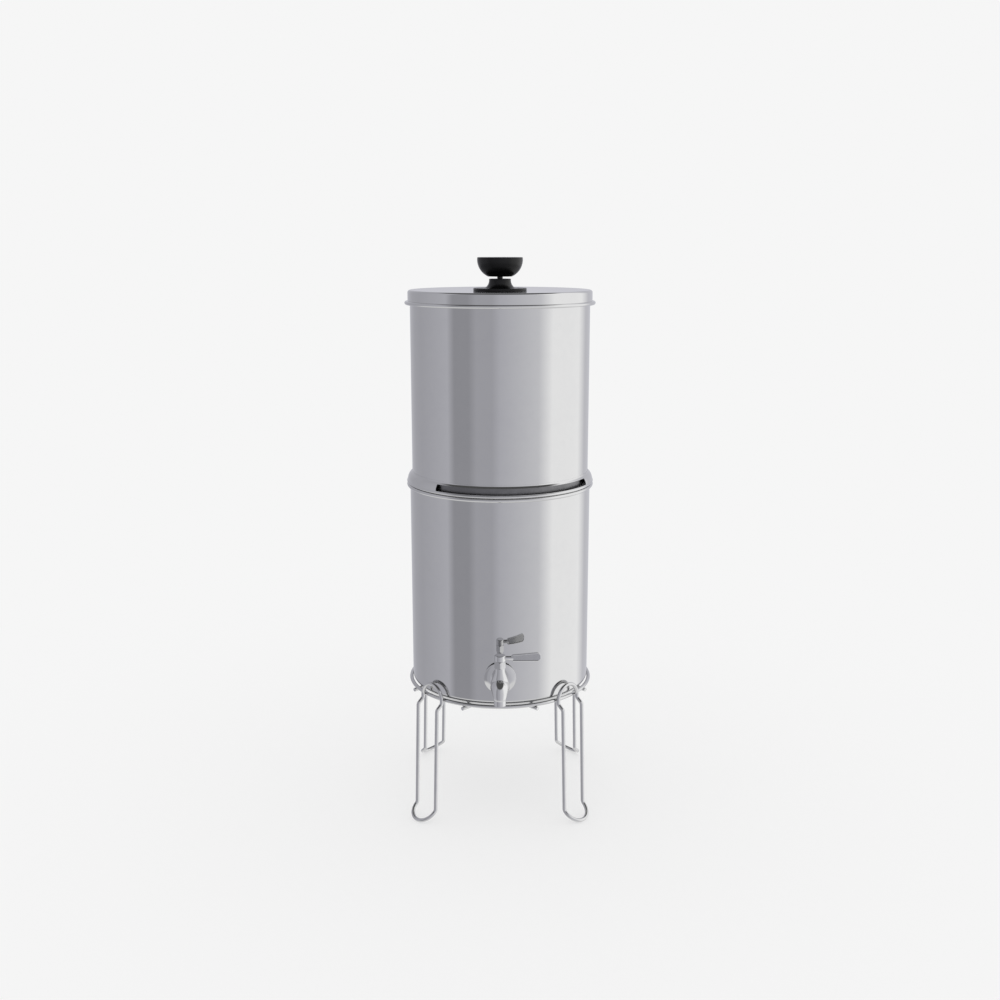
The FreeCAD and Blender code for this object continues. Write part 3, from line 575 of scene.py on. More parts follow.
def moulded_material(name, colour, tint, roughness, grain, depth, gloss=0.5):
    """Moulded plastic or rubber: a fine grain and slightly uneven gloss."""
    material, tree, shader, place = new_material(name)
    speckle = add_group(tree, moulded_grain, place, Grains_Per_Metre=grain).outputs["Height"]
    smudges = add_group(tree, handling_marks, place, Size=MOULDED_SMUDGE_SIZE)
    tree.links.new(mix_colours(tree, speckle, colour, tint), shader.inputs["Base Color"])
    rough = map_range(tree, smudges.outputs["Mask"], 0.0, 1.0, roughness,
                      roughness + MOULDED_SMUDGE_ROUGHNESS)
    tree.links.new(rough, shader.inputs["Roughness"])
    add_bump(tree, shader, speckle, GRAIN_BUMP, depth)
    shader.inputs["Specular IOR Level"].default_value = gloss
    return material


sheet_steel = steel_material("polished_sheet_steel", (0.62, 0.62, 0.62), (0.61, 0.61, 0.612),
                             0.015, 0.03, 9000.0, 0.0000012)
wire_steel = steel_material("bright_wire_steel", (0.62, 0.62, 0.62), (0.59, 0.59, 0.594),
                            0.03, 0.06, 6000.0, 0.000002)
tap_steel = steel_material("polished_tap_steel", (0.66, 0.66, 0.66), (0.63, 0.63, 0.635),
                           0.02, 0.045, 7000.0, 0.000002)
# Dark, rougher steel: painted shade for the upper tank's wall in the collar's recess and notch.
recess_shade_steel = steel_material("shade_darkened_sheet_steel", (0.20, 0.20, 0.205), (0.17, 0.17, 0.175),
                             0.30, 0.38, 5000.0, 0.00002)
satin_steel = steel_material("satin_handle_steel", (0.50, 0.50, 0.505), (0.46, 0.46, 0.465),
                             0.10, 0.16, 6000.0, 0.000004)
turned_steel = steel_material("turned_steel", (0.52, 0.52, 0.53), (0.47, 0.47, 0.48),
                              0.24, 0.32, 3000.0, 0.00005)
knob_plastic = moulded_material("black_knob_plastic", (0.0022, 0.0022, 0.0024), (0.0042, 0.0042, 0.0046),
                                0.24, 2600.0, 0.00002, 0.3)
seal_rubber = moulded_material("seal_rubber", (0.020, 0.020, 0.021), (0.035, 0.035, 0.036),
                               0.62, 1800.0, 0.00006)
seat_plastic = moulded_material("white_seat_plastic", (0.82, 0.82, 0.80), (0.74, 0.74, 0.72),
                                0.38, 1500.0, 0.00003)
filter_plastic = moulded_material("filter_plastic", (0.72, 0.73, 0.73), (0.64, 0.65, 0.66),
                                  0.42, 1300.0, 0.00004)
carbon_block = moulded_material("pressed_carbon", (0.014, 0.014, 0.015), (0.045, 0.045, 0.046),
                                0.86, 900.0, 0.0004)


# Tanks, collar, lid and knob

def arc_through(start, middle, end, steps):
    """Points along the arc through three points of the XZ plane."""
    first = middle - start
    second = end - start
    cross = 2 * (first.x * second.z - first.z * second.x)
    centre = start + Vector((
        (second.z * first.length_squared - first.z * second.length_squared) / cross, 0,
        (first.x * second.length_squared - second.x * first.length_squared) / cross))
    radius = (start - centre).length
    angles = [math.degrees(math.atan2(spot.z - centre.z, spot.x - centre.x))
              for spot in (start, middle, end)]
    turn = (angles[2] - angles[0]) % 360
    if (angles[1] - angles[0]) % 360 > turn:
        turn -= 360
    return arc_points(centre, radius, angles[0], angles[0] + turn, steps)


def pot_outline(radius, bottom, rings, bead_centre, bead_radius):
    """Half of a sheet pot: floor, corner, wall, rolled rim and back down inside."""
    meets = math.degrees(math.acos((radius - bead_centre.x) / bead_radius))
    corner = point(radius - TANK_CORNER, bottom + TANK_CORNER)
    inside = radius - WALL
    outline = [point(0, bottom)]
    outline += arc_points(corner, TANK_CORNER, -90, 0, CORNER_STEPS)
    outline += [point(radius, height) for height in rings]
    outline += arc_points(bead_centre, bead_radius, -meets, 180, BEAD_STEPS)
    if outline[-1].x - inside > MERGE_DISTANCE:
        outline.append(point(inside, bead_centre.z))
    outline += [point(inside, height) for height in reversed(rings)]
    outline += arc_points(corner, TANK_CORNER - WALL, 0, -90, CORNER_STEPS)
    outline.append(point(0, bottom + WALL))
    return outline


def make_lower_tank():
    low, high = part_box("lower_tank")
    bead_centre = point(high.x - RIM_BEAD_RADIUS, high.z - RIM_BEAD_RADIUS)
    radius = bead_centre.x - RIM_BEAD_RADIUS + RIM_BEAD_INSET
    rings = [TAP_HEIGHT - HOLE_RING, TAP_HEIGHT + HOLE_RING]
    tank = turned("lower_tank_sheet", pot_outline(radius, low.z, rings, bead_centre, RIM_BEAD_RADIUS))
    middle = Vector((0, 0, TAP_HEIGHT))
    return cut_away(tank, rod(SHANK_RADIUS + HOLE_CLEARANCE, middle, middle + FORWARD * high.x,
                              HOLE_SIDES))


def make_upper_tank():
    low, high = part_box("upper_tank")
    bead_centre = point(high.x - UPPER_HEM_RADIUS, high.z - UPPER_HEM_RADIUS)
    radius = bead_centre.x - UPPER_HEM_RADIUS + WALL
    outline = pot_outline(radius, low.z, [SHADE_PAINT_TOP], bead_centre, UPPER_HEM_RADIUS)
    tank = turned("upper_tank_sheet", outline)
    for side in (-1, 1):
        middle = Vector((side * FILTER_OFFSET, 0, low.z))
        tank = cut_away(tank, rod(STEM_HOLE_RADIUS, middle - UP * OVERRUN, middle + UP * 2 * OVERRUN,
                                  HOLE_SIDES))
    return tank


def make_collar():
    low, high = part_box("support_collar")
    tank_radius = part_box("upper_tank")[1].x - 2 * UPPER_HEM_RADIUS + WALL
    hem = point(high.x - COLLAR_HEM_RADIUS, low.z + COLLAR_HEM_RADIUS)
    reach = high.x - COLLAR_HEM_OVERHANG
    flare = point(reach - COLLAR_FLARE_RADIUS, low.z + COLLAR_FLARE_FOOT)
    inner_flare = COLLAR_FLARE_RADIUS - WALL
    band_inside = tank_radius + COLLAR_TANK_GAP
    band_outside = band_inside + WALL
    outer_end = math.degrees(math.acos((band_outside - flare.x) / COLLAR_FLARE_RADIUS))
    inner_end = math.degrees(math.acos((band_outside - flare.x) / inner_flare))
    band_bottom = high.z - COLLAR_BAND_HEIGHT
    hem_end = 360 + math.degrees(math.acos((reach - hem.x) / COLLAR_HEM_RADIUS))
    outline = arc_points(flare, COLLAR_FLARE_RADIUS, 0, outer_end, CORNER_STEPS)
    outline += arc_through(outline[-1], point(band_outside - COLLAR_FAIRING, (outline[-1].z + high.z) / 2),
                           point(band_inside + COLLAR_LIP, high.z), CORNER_STEPS)[1:]
    outline.append(point(band_inside, high.z))
    outline += [point(band_inside, band_bottom), point(band_outside, band_bottom)]
    outline += arc_points(flare, inner_flare, inner_end, COLLAR_FLARE_END, CORNER_STEPS)
    outline += arc_points(hem, COLLAR_HEM_RADIUS, 90, hem_end, BEAD_STEPS)
    outline.append(outline[0])
    collar = turned("support_collar_sheet", outline)

    bottom = low.z + NOTCH_BOTTOM
    top = bottom + NOTCH_HEIGHT
    outside = high.x + OVERRUN
    section = [point(band_outside, bottom), point(outside, bottom), point(outside, top),
               point(band_outside, top), point(band_outside, bottom)]
    for facing in (-90, 90):
        collar = cut_away(collar, part_turned(section, facing + NOTCH_CENTRE, NOTCH_WIDTH))
    return collar


def part_turned(section, middle, width):
    """A block swept part of the way round, to cut with. Angles in degrees from +X."""
    start = Matrix.Rotation(math.radians(middle - width / 2), 3, UP)
    draw_outline([start @ spot for spot in section])
    bpy.ops.mesh.select_all(action="SELECT")
    bpy.ops.mesh.remove_doubles(threshold=MERGE_DISTANCE)
    bpy.ops.mesh.edge_face_add()
    bpy.ops.mesh.spin(steps=NOTCH_STEPS, angle=-math.radians(width), center=ORIGIN, axis=UP)
    close_up()
    return bpy.context.object


def make_lid():
    low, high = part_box("lid")
    bead = point(high.x - LID_BEAD_RADIUS, low.z + LID_BEAD_RADIUS)
    radius = bead.x - LID_BEAD_RADIUS + LID_BEAD_INSET
    meets = math.degrees(math.acos((radius - bead.x) / LID_BEAD_RADIUS))
    corner = point(radius - LID_CORNER, high.z - LID_CORNER)
    hole = KNOB_HOLE_RADIUS + HOLE_CLEARANCE
    run = corner.x - LID_SEAT
    dish_radius = (run ** 2 + LID_DISH ** 2) / (2 * LID_DISH)
    centre = point(LID_SEAT, high.z - LID_DISH + dish_radius)
    rim_angle = -math.degrees(math.acos(run / dish_radius))
    top = arc_points(centre, dish_radius, rim_angle, -90, DOME_STEPS)
    top.append(point(hole, high.z - LID_DISH))
    outline = arc_points(corner, LID_CORNER, 0, 90, CORNER_STEPS)
    outline += top[1:]
    outline += [spot - UP * WALL for spot in reversed(top[1:])]
    outline += arc_points(corner, LID_CORNER - WALL, 90, 0, CORNER_STEPS)
    outline.append(point(radius - WALL, bead.z))
    outline += arc_points(bead, LID_BEAD_RADIUS, 180, 360 + meets, BEAD_STEPS)
    outline.append(outline[0])
    return turned("lid_sheet", outline)


def make_knob_base():
    low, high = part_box("knob_base")
    flange_top = low.z + KNOB_FLANGE_THICKNESS
    flare_top = low.z + KNOB_COLLAR_FLARE
    flare_middle = point((KNOB_COLLAR_FOOT + 2 * KNOB_COLLAR_RADIUS) / 3,
                         (2 * flange_top + flare_top) / 3)
    edge = KNOB_FLANGE_EDGE
    crown = KNOB_COLLAR_CROWN
    outline = [point(KNOB_HOLE_RADIUS, low.z), point(KNOB_FLANGE_RADIUS - edge / 4, low.z)]
    outline += [point(KNOB_FLANGE_RADIUS, low.z + edge / 4)]
    outline += arc_points(point(KNOB_FLANGE_RADIUS - edge, flange_top - edge), edge, 0, 90, CORNER_STEPS)
    outline += arc_through(point(KNOB_COLLAR_FOOT, flange_top), flare_middle,
                           point(KNOB_COLLAR_RADIUS, flare_top), DOME_STEPS)
    outline += arc_points(point(KNOB_COLLAR_RADIUS - crown, high.z - crown), crown, 0, 90, CORNER_STEPS)
    outline += [point(KNOB_HOLE_RADIUS, high.z), point(KNOB_HOLE_RADIUS, low.z)]
    return turned("knob_foot", outline, SMALL_TURN_STEPS)


def make_knob():
    low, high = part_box("knob")
    neck_top = low.z + KNOB_NECK_LENGTH
    socket_top = low.z + KNOB_SOCKET_DEPTH
    rim = high.z - KNOB_EDGE
    dish = KNOB_RADIUS - KNOB_EDGE
    dish_radius = (dish ** 2 + KNOB_DISH ** 2) / (2 * KNOB_DISH)
    dish_centre = point(0, high.z - KNOB_DISH + dish_radius)
    rim_angle = -math.degrees(math.acos(dish / dish_radius))
    side_middle = point((KNOB_FOOT_RADIUS + KNOB_RADIUS) / 2 + KNOB_FULLNESS,
                        (neck_top + rim) / 2 - KNOB_FULLNESS)
    foot = point(KNOB_FOOT_RADIUS, neck_top + KNOB_FOOT_EDGE / 2)
    outline = arc_points(dish_centre, dish_radius, -90, rim_angle, DOME_STEPS)
    outline += arc_points(point(dish, rim), KNOB_EDGE, 90, 0, CORNER_STEPS)
    outline += arc_through(point(KNOB_RADIUS, rim), side_middle, foot, DOME_STEPS)[1:]
    outline += [point(KNOB_FOOT_RADIUS - KNOB_FOOT_EDGE, neck_top)]
    outline += [point(KNOB_NECK_RADIUS, neck_top), point(KNOB_NECK_RADIUS, low.z)]
    outline += [point(KNOB_HOLE_RADIUS, low.z), point(KNOB_HOLE_RADIUS, socket_top)]
    outline += [point(0, socket_top)]
    return turned("knob_bowl", outline, SMALL_TURN_STEPS)


# Wire stand

def make_stand_ring():
    low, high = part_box("stand_ring")
    radius = (high.z - low.z) / 2
    centre = point(high.x - radius, low.z + radius)
    return turned("stand_ring_wire", arc_points(centre, radius, 0, 360, WIRE_SIDES))


def bevel_edges(piece, width):
    """Rounds the sharp edges of the active piece."""
    apply_modifier(piece, "BEVEL", width=width, segments=EDGE_SEGMENTS, limit_method="ANGLE",
                   angle_limit=SHARP_ANGLE)
    bpy.ops.object.shade_smooth_by_angle(angle=SMOOTH_ANGLE)


def turned_copy(piece, name, degrees):
    """A copy with its own mesh, turned about the tanks' axis."""
    copy = piece.copy()
    copy.data = piece.data.copy()
    bpy.context.collection.objects.link(copy)
    copy.rotation_euler = (0, 0, math.radians(degrees))
    activate(copy)
    return name_piece(name)


def make_leg():
    """One leg loop pointing along +X: an arch on the ring, two uprights and a bent foot."""
    low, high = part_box("stand_ring")
    radius = (high.z - low.z) / 2
    ring_height = low.z + radius
    half = LEG_WIRE_SPACING / 2
    tilt = math.radians(FOOT_TILT)
    joggle_top = ring_height - LEG_JOGGLE_DROP
    foot_run = half + FOOT_BEND / 2
    foot_reach = LEG_KNEE_RADIUS + foot_run * math.sin(tilt)
    points = [
        Vector((LEG_ARCH_RADIUS, 0, ring_height + LEG_ARCH_RISE)),
        Vector((LEG_ARCH_RADIUS, half, ring_height + LEG_ARCH_RISE)),
        Vector((LEG_ARCH_RADIUS, half, joggle_top)),
        Vector((LEG_TOP_RADIUS, half, joggle_top - LEG_JOGGLE_HEIGHT)),
        Vector((LEG_KNEE_RADIUS, half, radius + foot_run * math.cos(tilt))),
        Vector((foot_reach, half, radius)),
        Vector((foot_reach, 0, radius)),
    ]
    leg = sweep_wire("leg", points, [LEG_ARCH_RISE, LEG_JOGGLE_BEND, LEG_JOGGLE_BEND, FOOT_BEND, half],
                     radius)
    open_ends(leg)
    apply_modifier(leg, "MIRROR", use_axis=(False, True, False), merge_threshold=MERGE_DISTANCE)
    bpy.ops.object.mode_set(mode="EDIT")
    close_up()
    return leg


def open_ends(wire):
    """Takes away the end faces that lie on the mirror plane."""
    bpy.ops.object.mode_set(mode="EDIT")
    bpy.ops.mesh.select_all(action="DESELECT")
    bpy.ops.object.mode_set(mode="OBJECT")
    for face in wire.data.polygons:
        face.select = abs(face.center.y) < MERGE_DISTANCE and abs(face.normal.y) > FLAT
    bpy.ops.object.mode_set(mode="EDIT")
    bpy.ops.mesh.select_mode(type="FACE")
    bpy.ops.mesh.delete(type="FACE")
    bpy.ops.mesh.select_mode(type="VERT")
    bpy.ops.object.mode_set(mode="OBJECT")


def make_legs():
    leg = make_leg()
    legs = []
    for index, corner in enumerate(("back_right", "back_left", "front_left", "front_right")):
        legs.append(turned_copy(leg, "leg_wire_" + corner, 45 + 90 * index))
    discard(leg)
    return legs


def make_support_pair(name, dips):
    """Two parallel wires along X under the ring, straight or dipped where they cross the others."""
    low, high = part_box("support_wires_straight")
    radius = (high.z - low.z) / 2
    height = low.z + radius
    dip = SUPPORT_OFFSET + SUPPORT_DIP_MARGIN
    ramp = dip + SUPPORT_DIP_RUN
    wires = []
    for side in (-1, 1):
        offset = side * SUPPORT_OFFSET
        line = [(-SUPPORT_HALF_LENGTH, 0), (SUPPORT_HALF_LENGTH, 0)]
        bends = []
        if dips:
            line = [line[0], (-ramp, 0), (-dip, -SUPPORT_DIP), (dip, -SUPPORT_DIP), (ramp, 0), line[1]]
            bends = [SUPPORT_DIP_BEND] * 4
        spots = [Vector((x, offset, height + drop)) for x, drop in line]
        wire = sweep_wire(name, spots, bends, radius)
        bevel_edges(wire, WIRE_END_BEVEL)
        wires.append(wire)
    return join(wires, name)


def join(parts, name):
    deselect()
    for part in parts:
        part.select_set(True)
    bpy.context.view_layer.objects.active = parts[0]
    bpy.ops.object.join()
    return name_piece(name)


def turn_piece(piece, degrees):
    activate(piece)
    piece.rotation_euler = (0, 0, math.radians(degrees))
    bpy.ops.object.transform_apply(rotation=True)
    return piece


# Tap

def make_escutcheon():
    base = Vector((0, BARREL_START_Y + ESCUTCHEON_THICKNESS + SEAT_GAP, TAP_HEIGHT))
    edge = ESCUTCHEON_EDGE / 2
    flat = BARREL_RADIUS + ESCUTCHEON_EDGE
    rim = point(ESCUTCHEON_RADIUS - edge, edge)
    crown = point((flat + ESCUTCHEON_RADIUS) / 2, ESCUTCHEON_THICKNESS - edge)
    bore = SHANK_RADIUS + HOLE_CLEARANCE / 4
    outline = [point(bore, 0)]
    outline += arc_points(rim, edge, -90, 90, CORNER_STEPS)
    outline += arc_through(outline[-1], crown, point(flat, ESCUTCHEON_THICKNESS), CORNER_STEPS)[1:]
    outline += [point(bore, ESCUTCHEON_THICKNESS), point(bore, 0)]
    return turned("tap_disc", outline, SMALL_TURN_STEPS, base, FORWARD)


def casting(parts, name):
    """Joins closed shapes into one casting with softened inner corners."""
    piece = join(parts, name)
    apply_modifier(piece, "REMESH", mode="VOXEL", voxel_size=CASTING_VOXEL)
    apply_modifier(piece, "SMOOTH", factor=CASTING_SOFTNESS, iterations=CASTING_SMOOTHING)
    return name_piece(name)


def make_elbow():
    """The tapering elbow and straight spout, swept down from the barrel's end."""
    deselect()
    start = Vector((0, ELBOW_Y, TAP_HEIGHT))
    centre = start - UP * ELBOW_RADIUS
    bpy.ops.mesh.primitive_circle_add(vertices=HOLE_SIDES, radius=BULB_RADIUS, fill_type="NGON",
                                      location=start, rotation=(math.radians(90), 0, 0))
    bpy.ops.object.mode_set(mode="EDIT")
    bpy.ops.mesh.select_all(action="SELECT")
    turn = math.radians(90) / ELBOW_STEPS
    radius = BULB_RADIUS
    for step in range(ELBOW_STEPS):
        bpy.ops.mesh.spin(steps=1, angle=turn, center=centre, axis=-RIGHT)
        taper = ((step + 1) / ELBOW_STEPS) ** ELBOW_TAPER
        next_radius = BULB_RADIUS + (SPOUT_RADIUS - BULB_RADIUS) * taper
        angle = turn * (step + 1)
        middle = centre + Vector((0, -math.sin(angle), math.cos(angle))) * ELBOW_RADIUS
        share = next_radius / radius
        bpy.ops.transform.resize(value=(share, share, share), center_override=middle)
        radius = next_radius
    down = SPOUT_LENGTH + 3 * OVERRUN
    bpy.ops.mesh.extrude_region_move(TRANSFORM_OT_translate={"value": -UP * down})
    close_up()
    return bpy.context.object


def cut_flat(piece, place, facing):
    """Cuts away what lies beyond a flat plane through a place, with a plain block."""
    deselect()
    bpy.ops.mesh.primitive_cube_add(size=BLOCK_SIZE, location=place + facing * BLOCK_SIZE / 2)
    return cut_away(piece, bpy.context.object)


def make_tap_body():
    back = 3 * OVERRUN
    length = BARREL_START_Y - ELBOW_Y
    swell_end = BARREL_START_Y - TAP_AXIS_Y
    swell_middle = point((BARREL_RADIUS + BULB_RADIUS) / 2 + BARREL_SWELL, (BARREL_PLAIN + swell_end) / 2)
    outline = [point(0, -back), point(BARREL_RADIUS, -back)]
    outline += arc_through(point(BARREL_RADIUS, BARREL_PLAIN), swell_middle,
                           point(BULB_RADIUS, swell_end), DOME_STEPS)
    outline += [point(BULB_RADIUS, length + BARREL_OVERLAP), point(0, length + BARREL_OVERLAP)]
    start = Vector((0, BARREL_START_Y, TAP_HEIGHT))
    barrel = turned("barrel", outline, SMALL_TURN_STEPS, start, FORWARD)
    neck_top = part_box("tap_body")[1].z
    axis = Vector((0, TAP_AXIS_Y, TAP_HEIGHT))
    high = neck_top - TAP_HEIGHT
    outline = [point(0, 0), point(SHOULDER_RADIUS, 0), point(SHOULDER_RADIUS, SHOULDER_BOTTOM)]
    outline += [point(NECK_RADIUS, SHOULDER_TOP), point(NECK_RADIUS, high + back)]
    outline += [point(0, high + back)]
    neck = turned("neck", outline, SMALL_TURN_STEPS, axis)
    body = casting([barrel, neck, make_elbow()], "tap_casting")
    outlet = Vector((0, ELBOW_Y - ELBOW_RADIUS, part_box("tap_body")[0].z))
    body = cut_flat(body, start, -FORWARD)
    body = cut_flat(body, outlet, -UP)
    body = cut_flat(body, axis + UP * high, UP)
    body = cut_away(body, rod(SPOUT_BORE, outlet - UP * OVERRUN, outlet + UP * SPOUT_DEPTH, HOLE_SIDES))
    body = cut_away(body, rod(CHAMBER_RADIUS, start - FORWARD * OVERRUN, axis + FORWARD * CHAMBER_RADIUS,
                              HOLE_SIDES))
    body = cut_away(body, rod(GLAND_RADIUS, axis + UP * (high - GLAND_DEPTH), axis + UP * (high + OVERRUN),
                              HOLE_SIDES))
    return smoothed(body)


def make_bonnet_nut():
    low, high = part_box("bonnet_nut")
    height = high.z - low.z
    base = Vector((0, TAP_AXIS_Y, low.z))
    corner = BONNET_FLATS / math.sqrt(3)
    cut = BONNET_CHAMFER
    deselect()
    bpy.ops.mesh.primitive_cylinder_add(vertices=6, radius=corner, depth=height,
                                        location=base + UP * height / 2)
    bpy.ops.object.transform_apply(location=True, rotation=True, scale=True)
    nut = bpy.context.object
    outline = [point(0, 0), point(corner - cut, 0), point(corner, cut), point(corner, height - cut),
               point(corner - cut, height), point(0, height)]
    barrel = turned("nut_barrel", outline, SMALL_TURN_STEPS, base)
    nut = apply_boolean(nut, barrel, "INTERSECT")
    nut = cut_away(nut, rod(NECK_RADIUS + BONNET_CLEARANCE, base - UP * OVERRUN, base + UP * BONNET_SKIRT,
                            HOLE_SIDES))
    nut = cut_away(nut, rod(STEM_RADIUS + STEM_CLEARANCE, base, base + UP * (height + OVERRUN),
                            HOLE_SIDES))
    activate(nut)
    return name_piece("bonnet_nut_steel")


def paddle_outline(neck_height):
    """The paddle seen from the front, as points of the XZ plane."""
    outline = []
    root = [point(PADDLE_START, neck_height - PADDLE_ROOT), point(PADDLE_START, neck_height + PADDLE_ROOT)]
    middle = neck_height + PADDLE_RISE
    tip = [point(PADDLE_END, middle + PADDLE_TIP), point(PADDLE_END, middle - PADDLE_TIP)]
    corners = root + tip
    radii = [PADDLE_ROOT_CORNER] * 2 + [PADDLE_TIP_CORNER] * 2
    for index, corner in enumerate(corners):
        back = (corners[index - 1] - corner).normalized()
        ahead = (corners[(index + 1) % 4] - corner).normalized()
        half = back.angle(ahead) / 2
        centre = corner + (back + ahead).normalized() * radii[index] / math.sin(half)
        start = corner + back * radii[index] / math.tan(half) - centre
        turn = math.degrees(2 * half) - 180
        first = math.degrees(math.atan2(start.z, start.x))
        outline += arc_points(centre, radii[index], first, first + turn, CORNER_STEPS)
    return outline


def extruded(outline, depth):
    """A flat plate from an outline in the XZ plane, spread evenly about that plane."""
    draw_outline([spot - FORWARD * depth / 2 for spot in outline] + [outline[0] - FORWARD * depth / 2])
    bpy.ops.mesh.select_all(action="SELECT")
    bpy.ops.mesh.remove_doubles(threshold=MERGE_DISTANCE)
    bpy.ops.mesh.edge_face_add()
    bpy.ops.mesh.extrude_region_move(TRANSFORM_OT_translate={"value": FORWARD * depth})
    close_up()
    return bpy.context.object


def make_paddle(neck_height):
    """The flat handle, with rounded edges and a sunk panel on each face."""
    shift = Vector((0, TAP_AXIS_Y, 0))
    paddle = extruded([spot + shift for spot in paddle_outline(neck_height)], PADDLE_THICKNESS)
    bevel_edges(paddle, PADDLE_EDGE)
    for facing in (-1, 1):
        select_flat_face(paddle, facing)
        bpy.ops.mesh.inset(thickness=SUNK_FACE_INSET, depth=0)
        bpy.ops.mesh.inset(thickness=SUNK_FACE_SLOPE, depth=-SUNK_FACE_DEPTH)
        bpy.ops.object.mode_set(mode="OBJECT")
    return paddle


def select_flat_face(piece, facing):
    """Selects the largest face that looks along -Y or +Y, in edit mode."""
    bpy.ops.object.mode_set(mode="EDIT")
    bpy.ops.mesh.select_all(action="DESELECT")
    bpy.ops.object.mode_set(mode="OBJECT")
    flat = [face for face in piece.data.polygons if face.normal.y * facing > FLAT]
    largest = max(flat, key=lambda face: face.area)
    largest.select = True
    bpy.ops.object.mode_set(mode="EDIT")
    bpy.ops.mesh.select_mode(type="FACE")


def make_lever():
    base = Vector((0, TAP_AXIS_Y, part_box("tap_lever")[0].z))
    neck_height = base.z + HUB_HEIGHT / 2
    foot = HUB_FOOT_EDGE
    outline = [point(0, 0), point(HUB_RADIUS - foot, 0), point(HUB_RADIUS, foot)]
    outline += arc_points(point(HUB_RADIUS - HUB_EDGE, HUB_HEIGHT - HUB_EDGE), HUB_EDGE, 0, 90,
                          CORNER_STEPS)
    outline += [point(0, HUB_HEIGHT)]
    hub = turned("lever_steel", outline, SMALL_TURN_STEPS, base)
    neck = rod(LEVER_NECK_RADIUS, Vector((HUB_RADIUS / 2, TAP_AXIS_Y, neck_height)),
               Vector((LEVER_NECK_END, TAP_AXIS_Y, neck_height)), HOLE_SIDES)
    lever = apply_boolean(hub, neck, "UNION")
    lever = apply_boolean(lever, make_paddle(neck_height), "UNION")
    socket_top = base + UP * (HUB_HEIGHT - HUB_EDGE + HUB_CLEARANCE)
    lever = cut_away(lever, rod(STEM_RADIUS + HUB_CLEARANCE, base - UP * OVERRUN, socket_top, HOLE_SIDES))
    return smoothed(lever)


# Dressing the frame

settle(make_lower_tank(), "lower_vessel", sheet_steel, "lower_tank")
upper_tank = settle(make_upper_tank(), "upper_vessel", sheet_steel, "upper_tank")
# Painted shade: the upper tank's outside is made dark below the collar's top, where it sits in the recess.
paint_shade_below(upper_tank, SHADE_PAINT_TOP, recess_shade_steel)
settle(make_collar(), "upper_vessel", sheet_steel, "support_collar")
settle(make_lid(), "lid_with_knob", sheet_steel, "lid")
settle(make_knob_base(), "lid_with_knob", knob_plastic, "knob_base")
settle(make_knob(), "lid_with_knob", knob_plastic, "knob")
settle(make_stand_ring(), "stand", wire_steel, "stand_ring")
for leg, node in zip(make_legs(), ("leg_back_right", "leg_back_left", "leg_front_left", "leg_front_right")):
    settle(leg, "stand", wire_steel, node)
straight_pair = turn_piece(make_support_pair("straight_support_wires", False), -45)
settle(straight_pair, "stand", wire_steel, "support_wires_straight")
dipped_pair = turn_piece(make_support_pair("dipped_support_wires", True), 45)
settle(dipped_pair, "stand", wire_steel, "support_wires_dipped")
settle(make_escutcheon(), "lower_vessel", tap_steel, "tap_escutcheon")
settle(make_tap_body(), "lower_vessel", tap_steel, "tap_body")
settle(make_bonnet_nut(), "lower_vessel", tap_steel, "bonnet_nut")
lever = settle(make_lever(), "tap_handle", tap_steel, "tap_lever")
satin_sunk_faces(lever, satin_steel)

kept_finishes = {
    "tap_shank": turned_steel, "tap_inner_washer": turned_steel, "tap_lock_nut": turned_steel,
    "tap_stem": turned_steel, "tap_ball": tap_steel, "knob_screw": turned_steel,
    "knob_washer": turned_steel, "tap_outer_gasket": seal_rubber, "tap_inner_gasket": seal_rubber,
    "stem_seals": seal_rubber, "ball_seats": seat_plastic,
}
for side in ("left", "right"):
    kept_finishes["filter_washer_" + side] = seal_rubber
    kept_finishes["filter_base_" + side] = filter_plastic
    kept_finishes["filter_cap_" + side] = filter_plastic
    kept_finishes["wing_nut_" + side] = filter_plastic
    kept_finishes["filter_block_" + side] = carbon_block
for node, finish in kept_finishes.items():
    finish_in(nodes[node], finish)


# Studio. Brightness is 1 where a pale wall would be white.

BACKDROP = 0.921
WORLD_LIGHT = 0.85
PANEL_SCALE = 0.5
PANEL_TINT = 0.2
PANEL_TINT_LIMIT = 0.08
MIRRORED_FLOOR = 0.9
MIRRORED_CEILING = 0.1
MIRRORED_FLOOR_EDGE = -30.0
MIRRORED_CEILING_EDGE = 50.0
LAYER_BLEND = 4.0
WHITE = (1.0, 1.0, 1.0)
FLOOR_SIZE = 60
FLOOR_COLOUR = (0.55, 0.55, 0.55)
FLOOR_FADE_START = 0.45
FLOOR_FADE_END = 1.1
CAMERA_HEIGHT = 0.67475
CAMERA_DISTANCE = 1.39209
CAMERA_PITCH = 12.229
CAMERA_LENS = 42.163
CAMERA_SENSOR = 36
CAMERA_NEAR = 0.01
CAMERA_FAR = 200


def make_camera():
    data = bpy.data.cameras.new("camera")
    data.sensor_width = CAMERA_SENSOR
    data.lens = CAMERA_LENS
    data.clip_start = CAMERA_NEAR
    data.clip_end = CAMERA_FAR
    camera = bpy.data.objects.new("camera", data)
    bpy.context.collection.objects.link(camera)
    camera.location = (0, -CAMERA_DISTANCE, CAMERA_HEIGHT)
    camera.rotation_euler = (math.radians(90 - CAMERA_PITCH), 0, 0)
    bpy.context.scene.camera = camera


def coloured_shader(tree, kind, colour, strength=None):
    node = tree.nodes.new(kind)
    feed(tree, node.inputs["Color"], colour)
    if strength is not None:
        node.inputs["Strength"].default_value = strength
    return node.outputs[0]


def blend_shaders(tree, factor, first, second):
    mix = tree.nodes.new("ShaderNodeMixShader")
    for socket, value in zip(mix.inputs, (factor, first, second)):
        tree.links.new(value, socket)
    return mix.outputs[0]


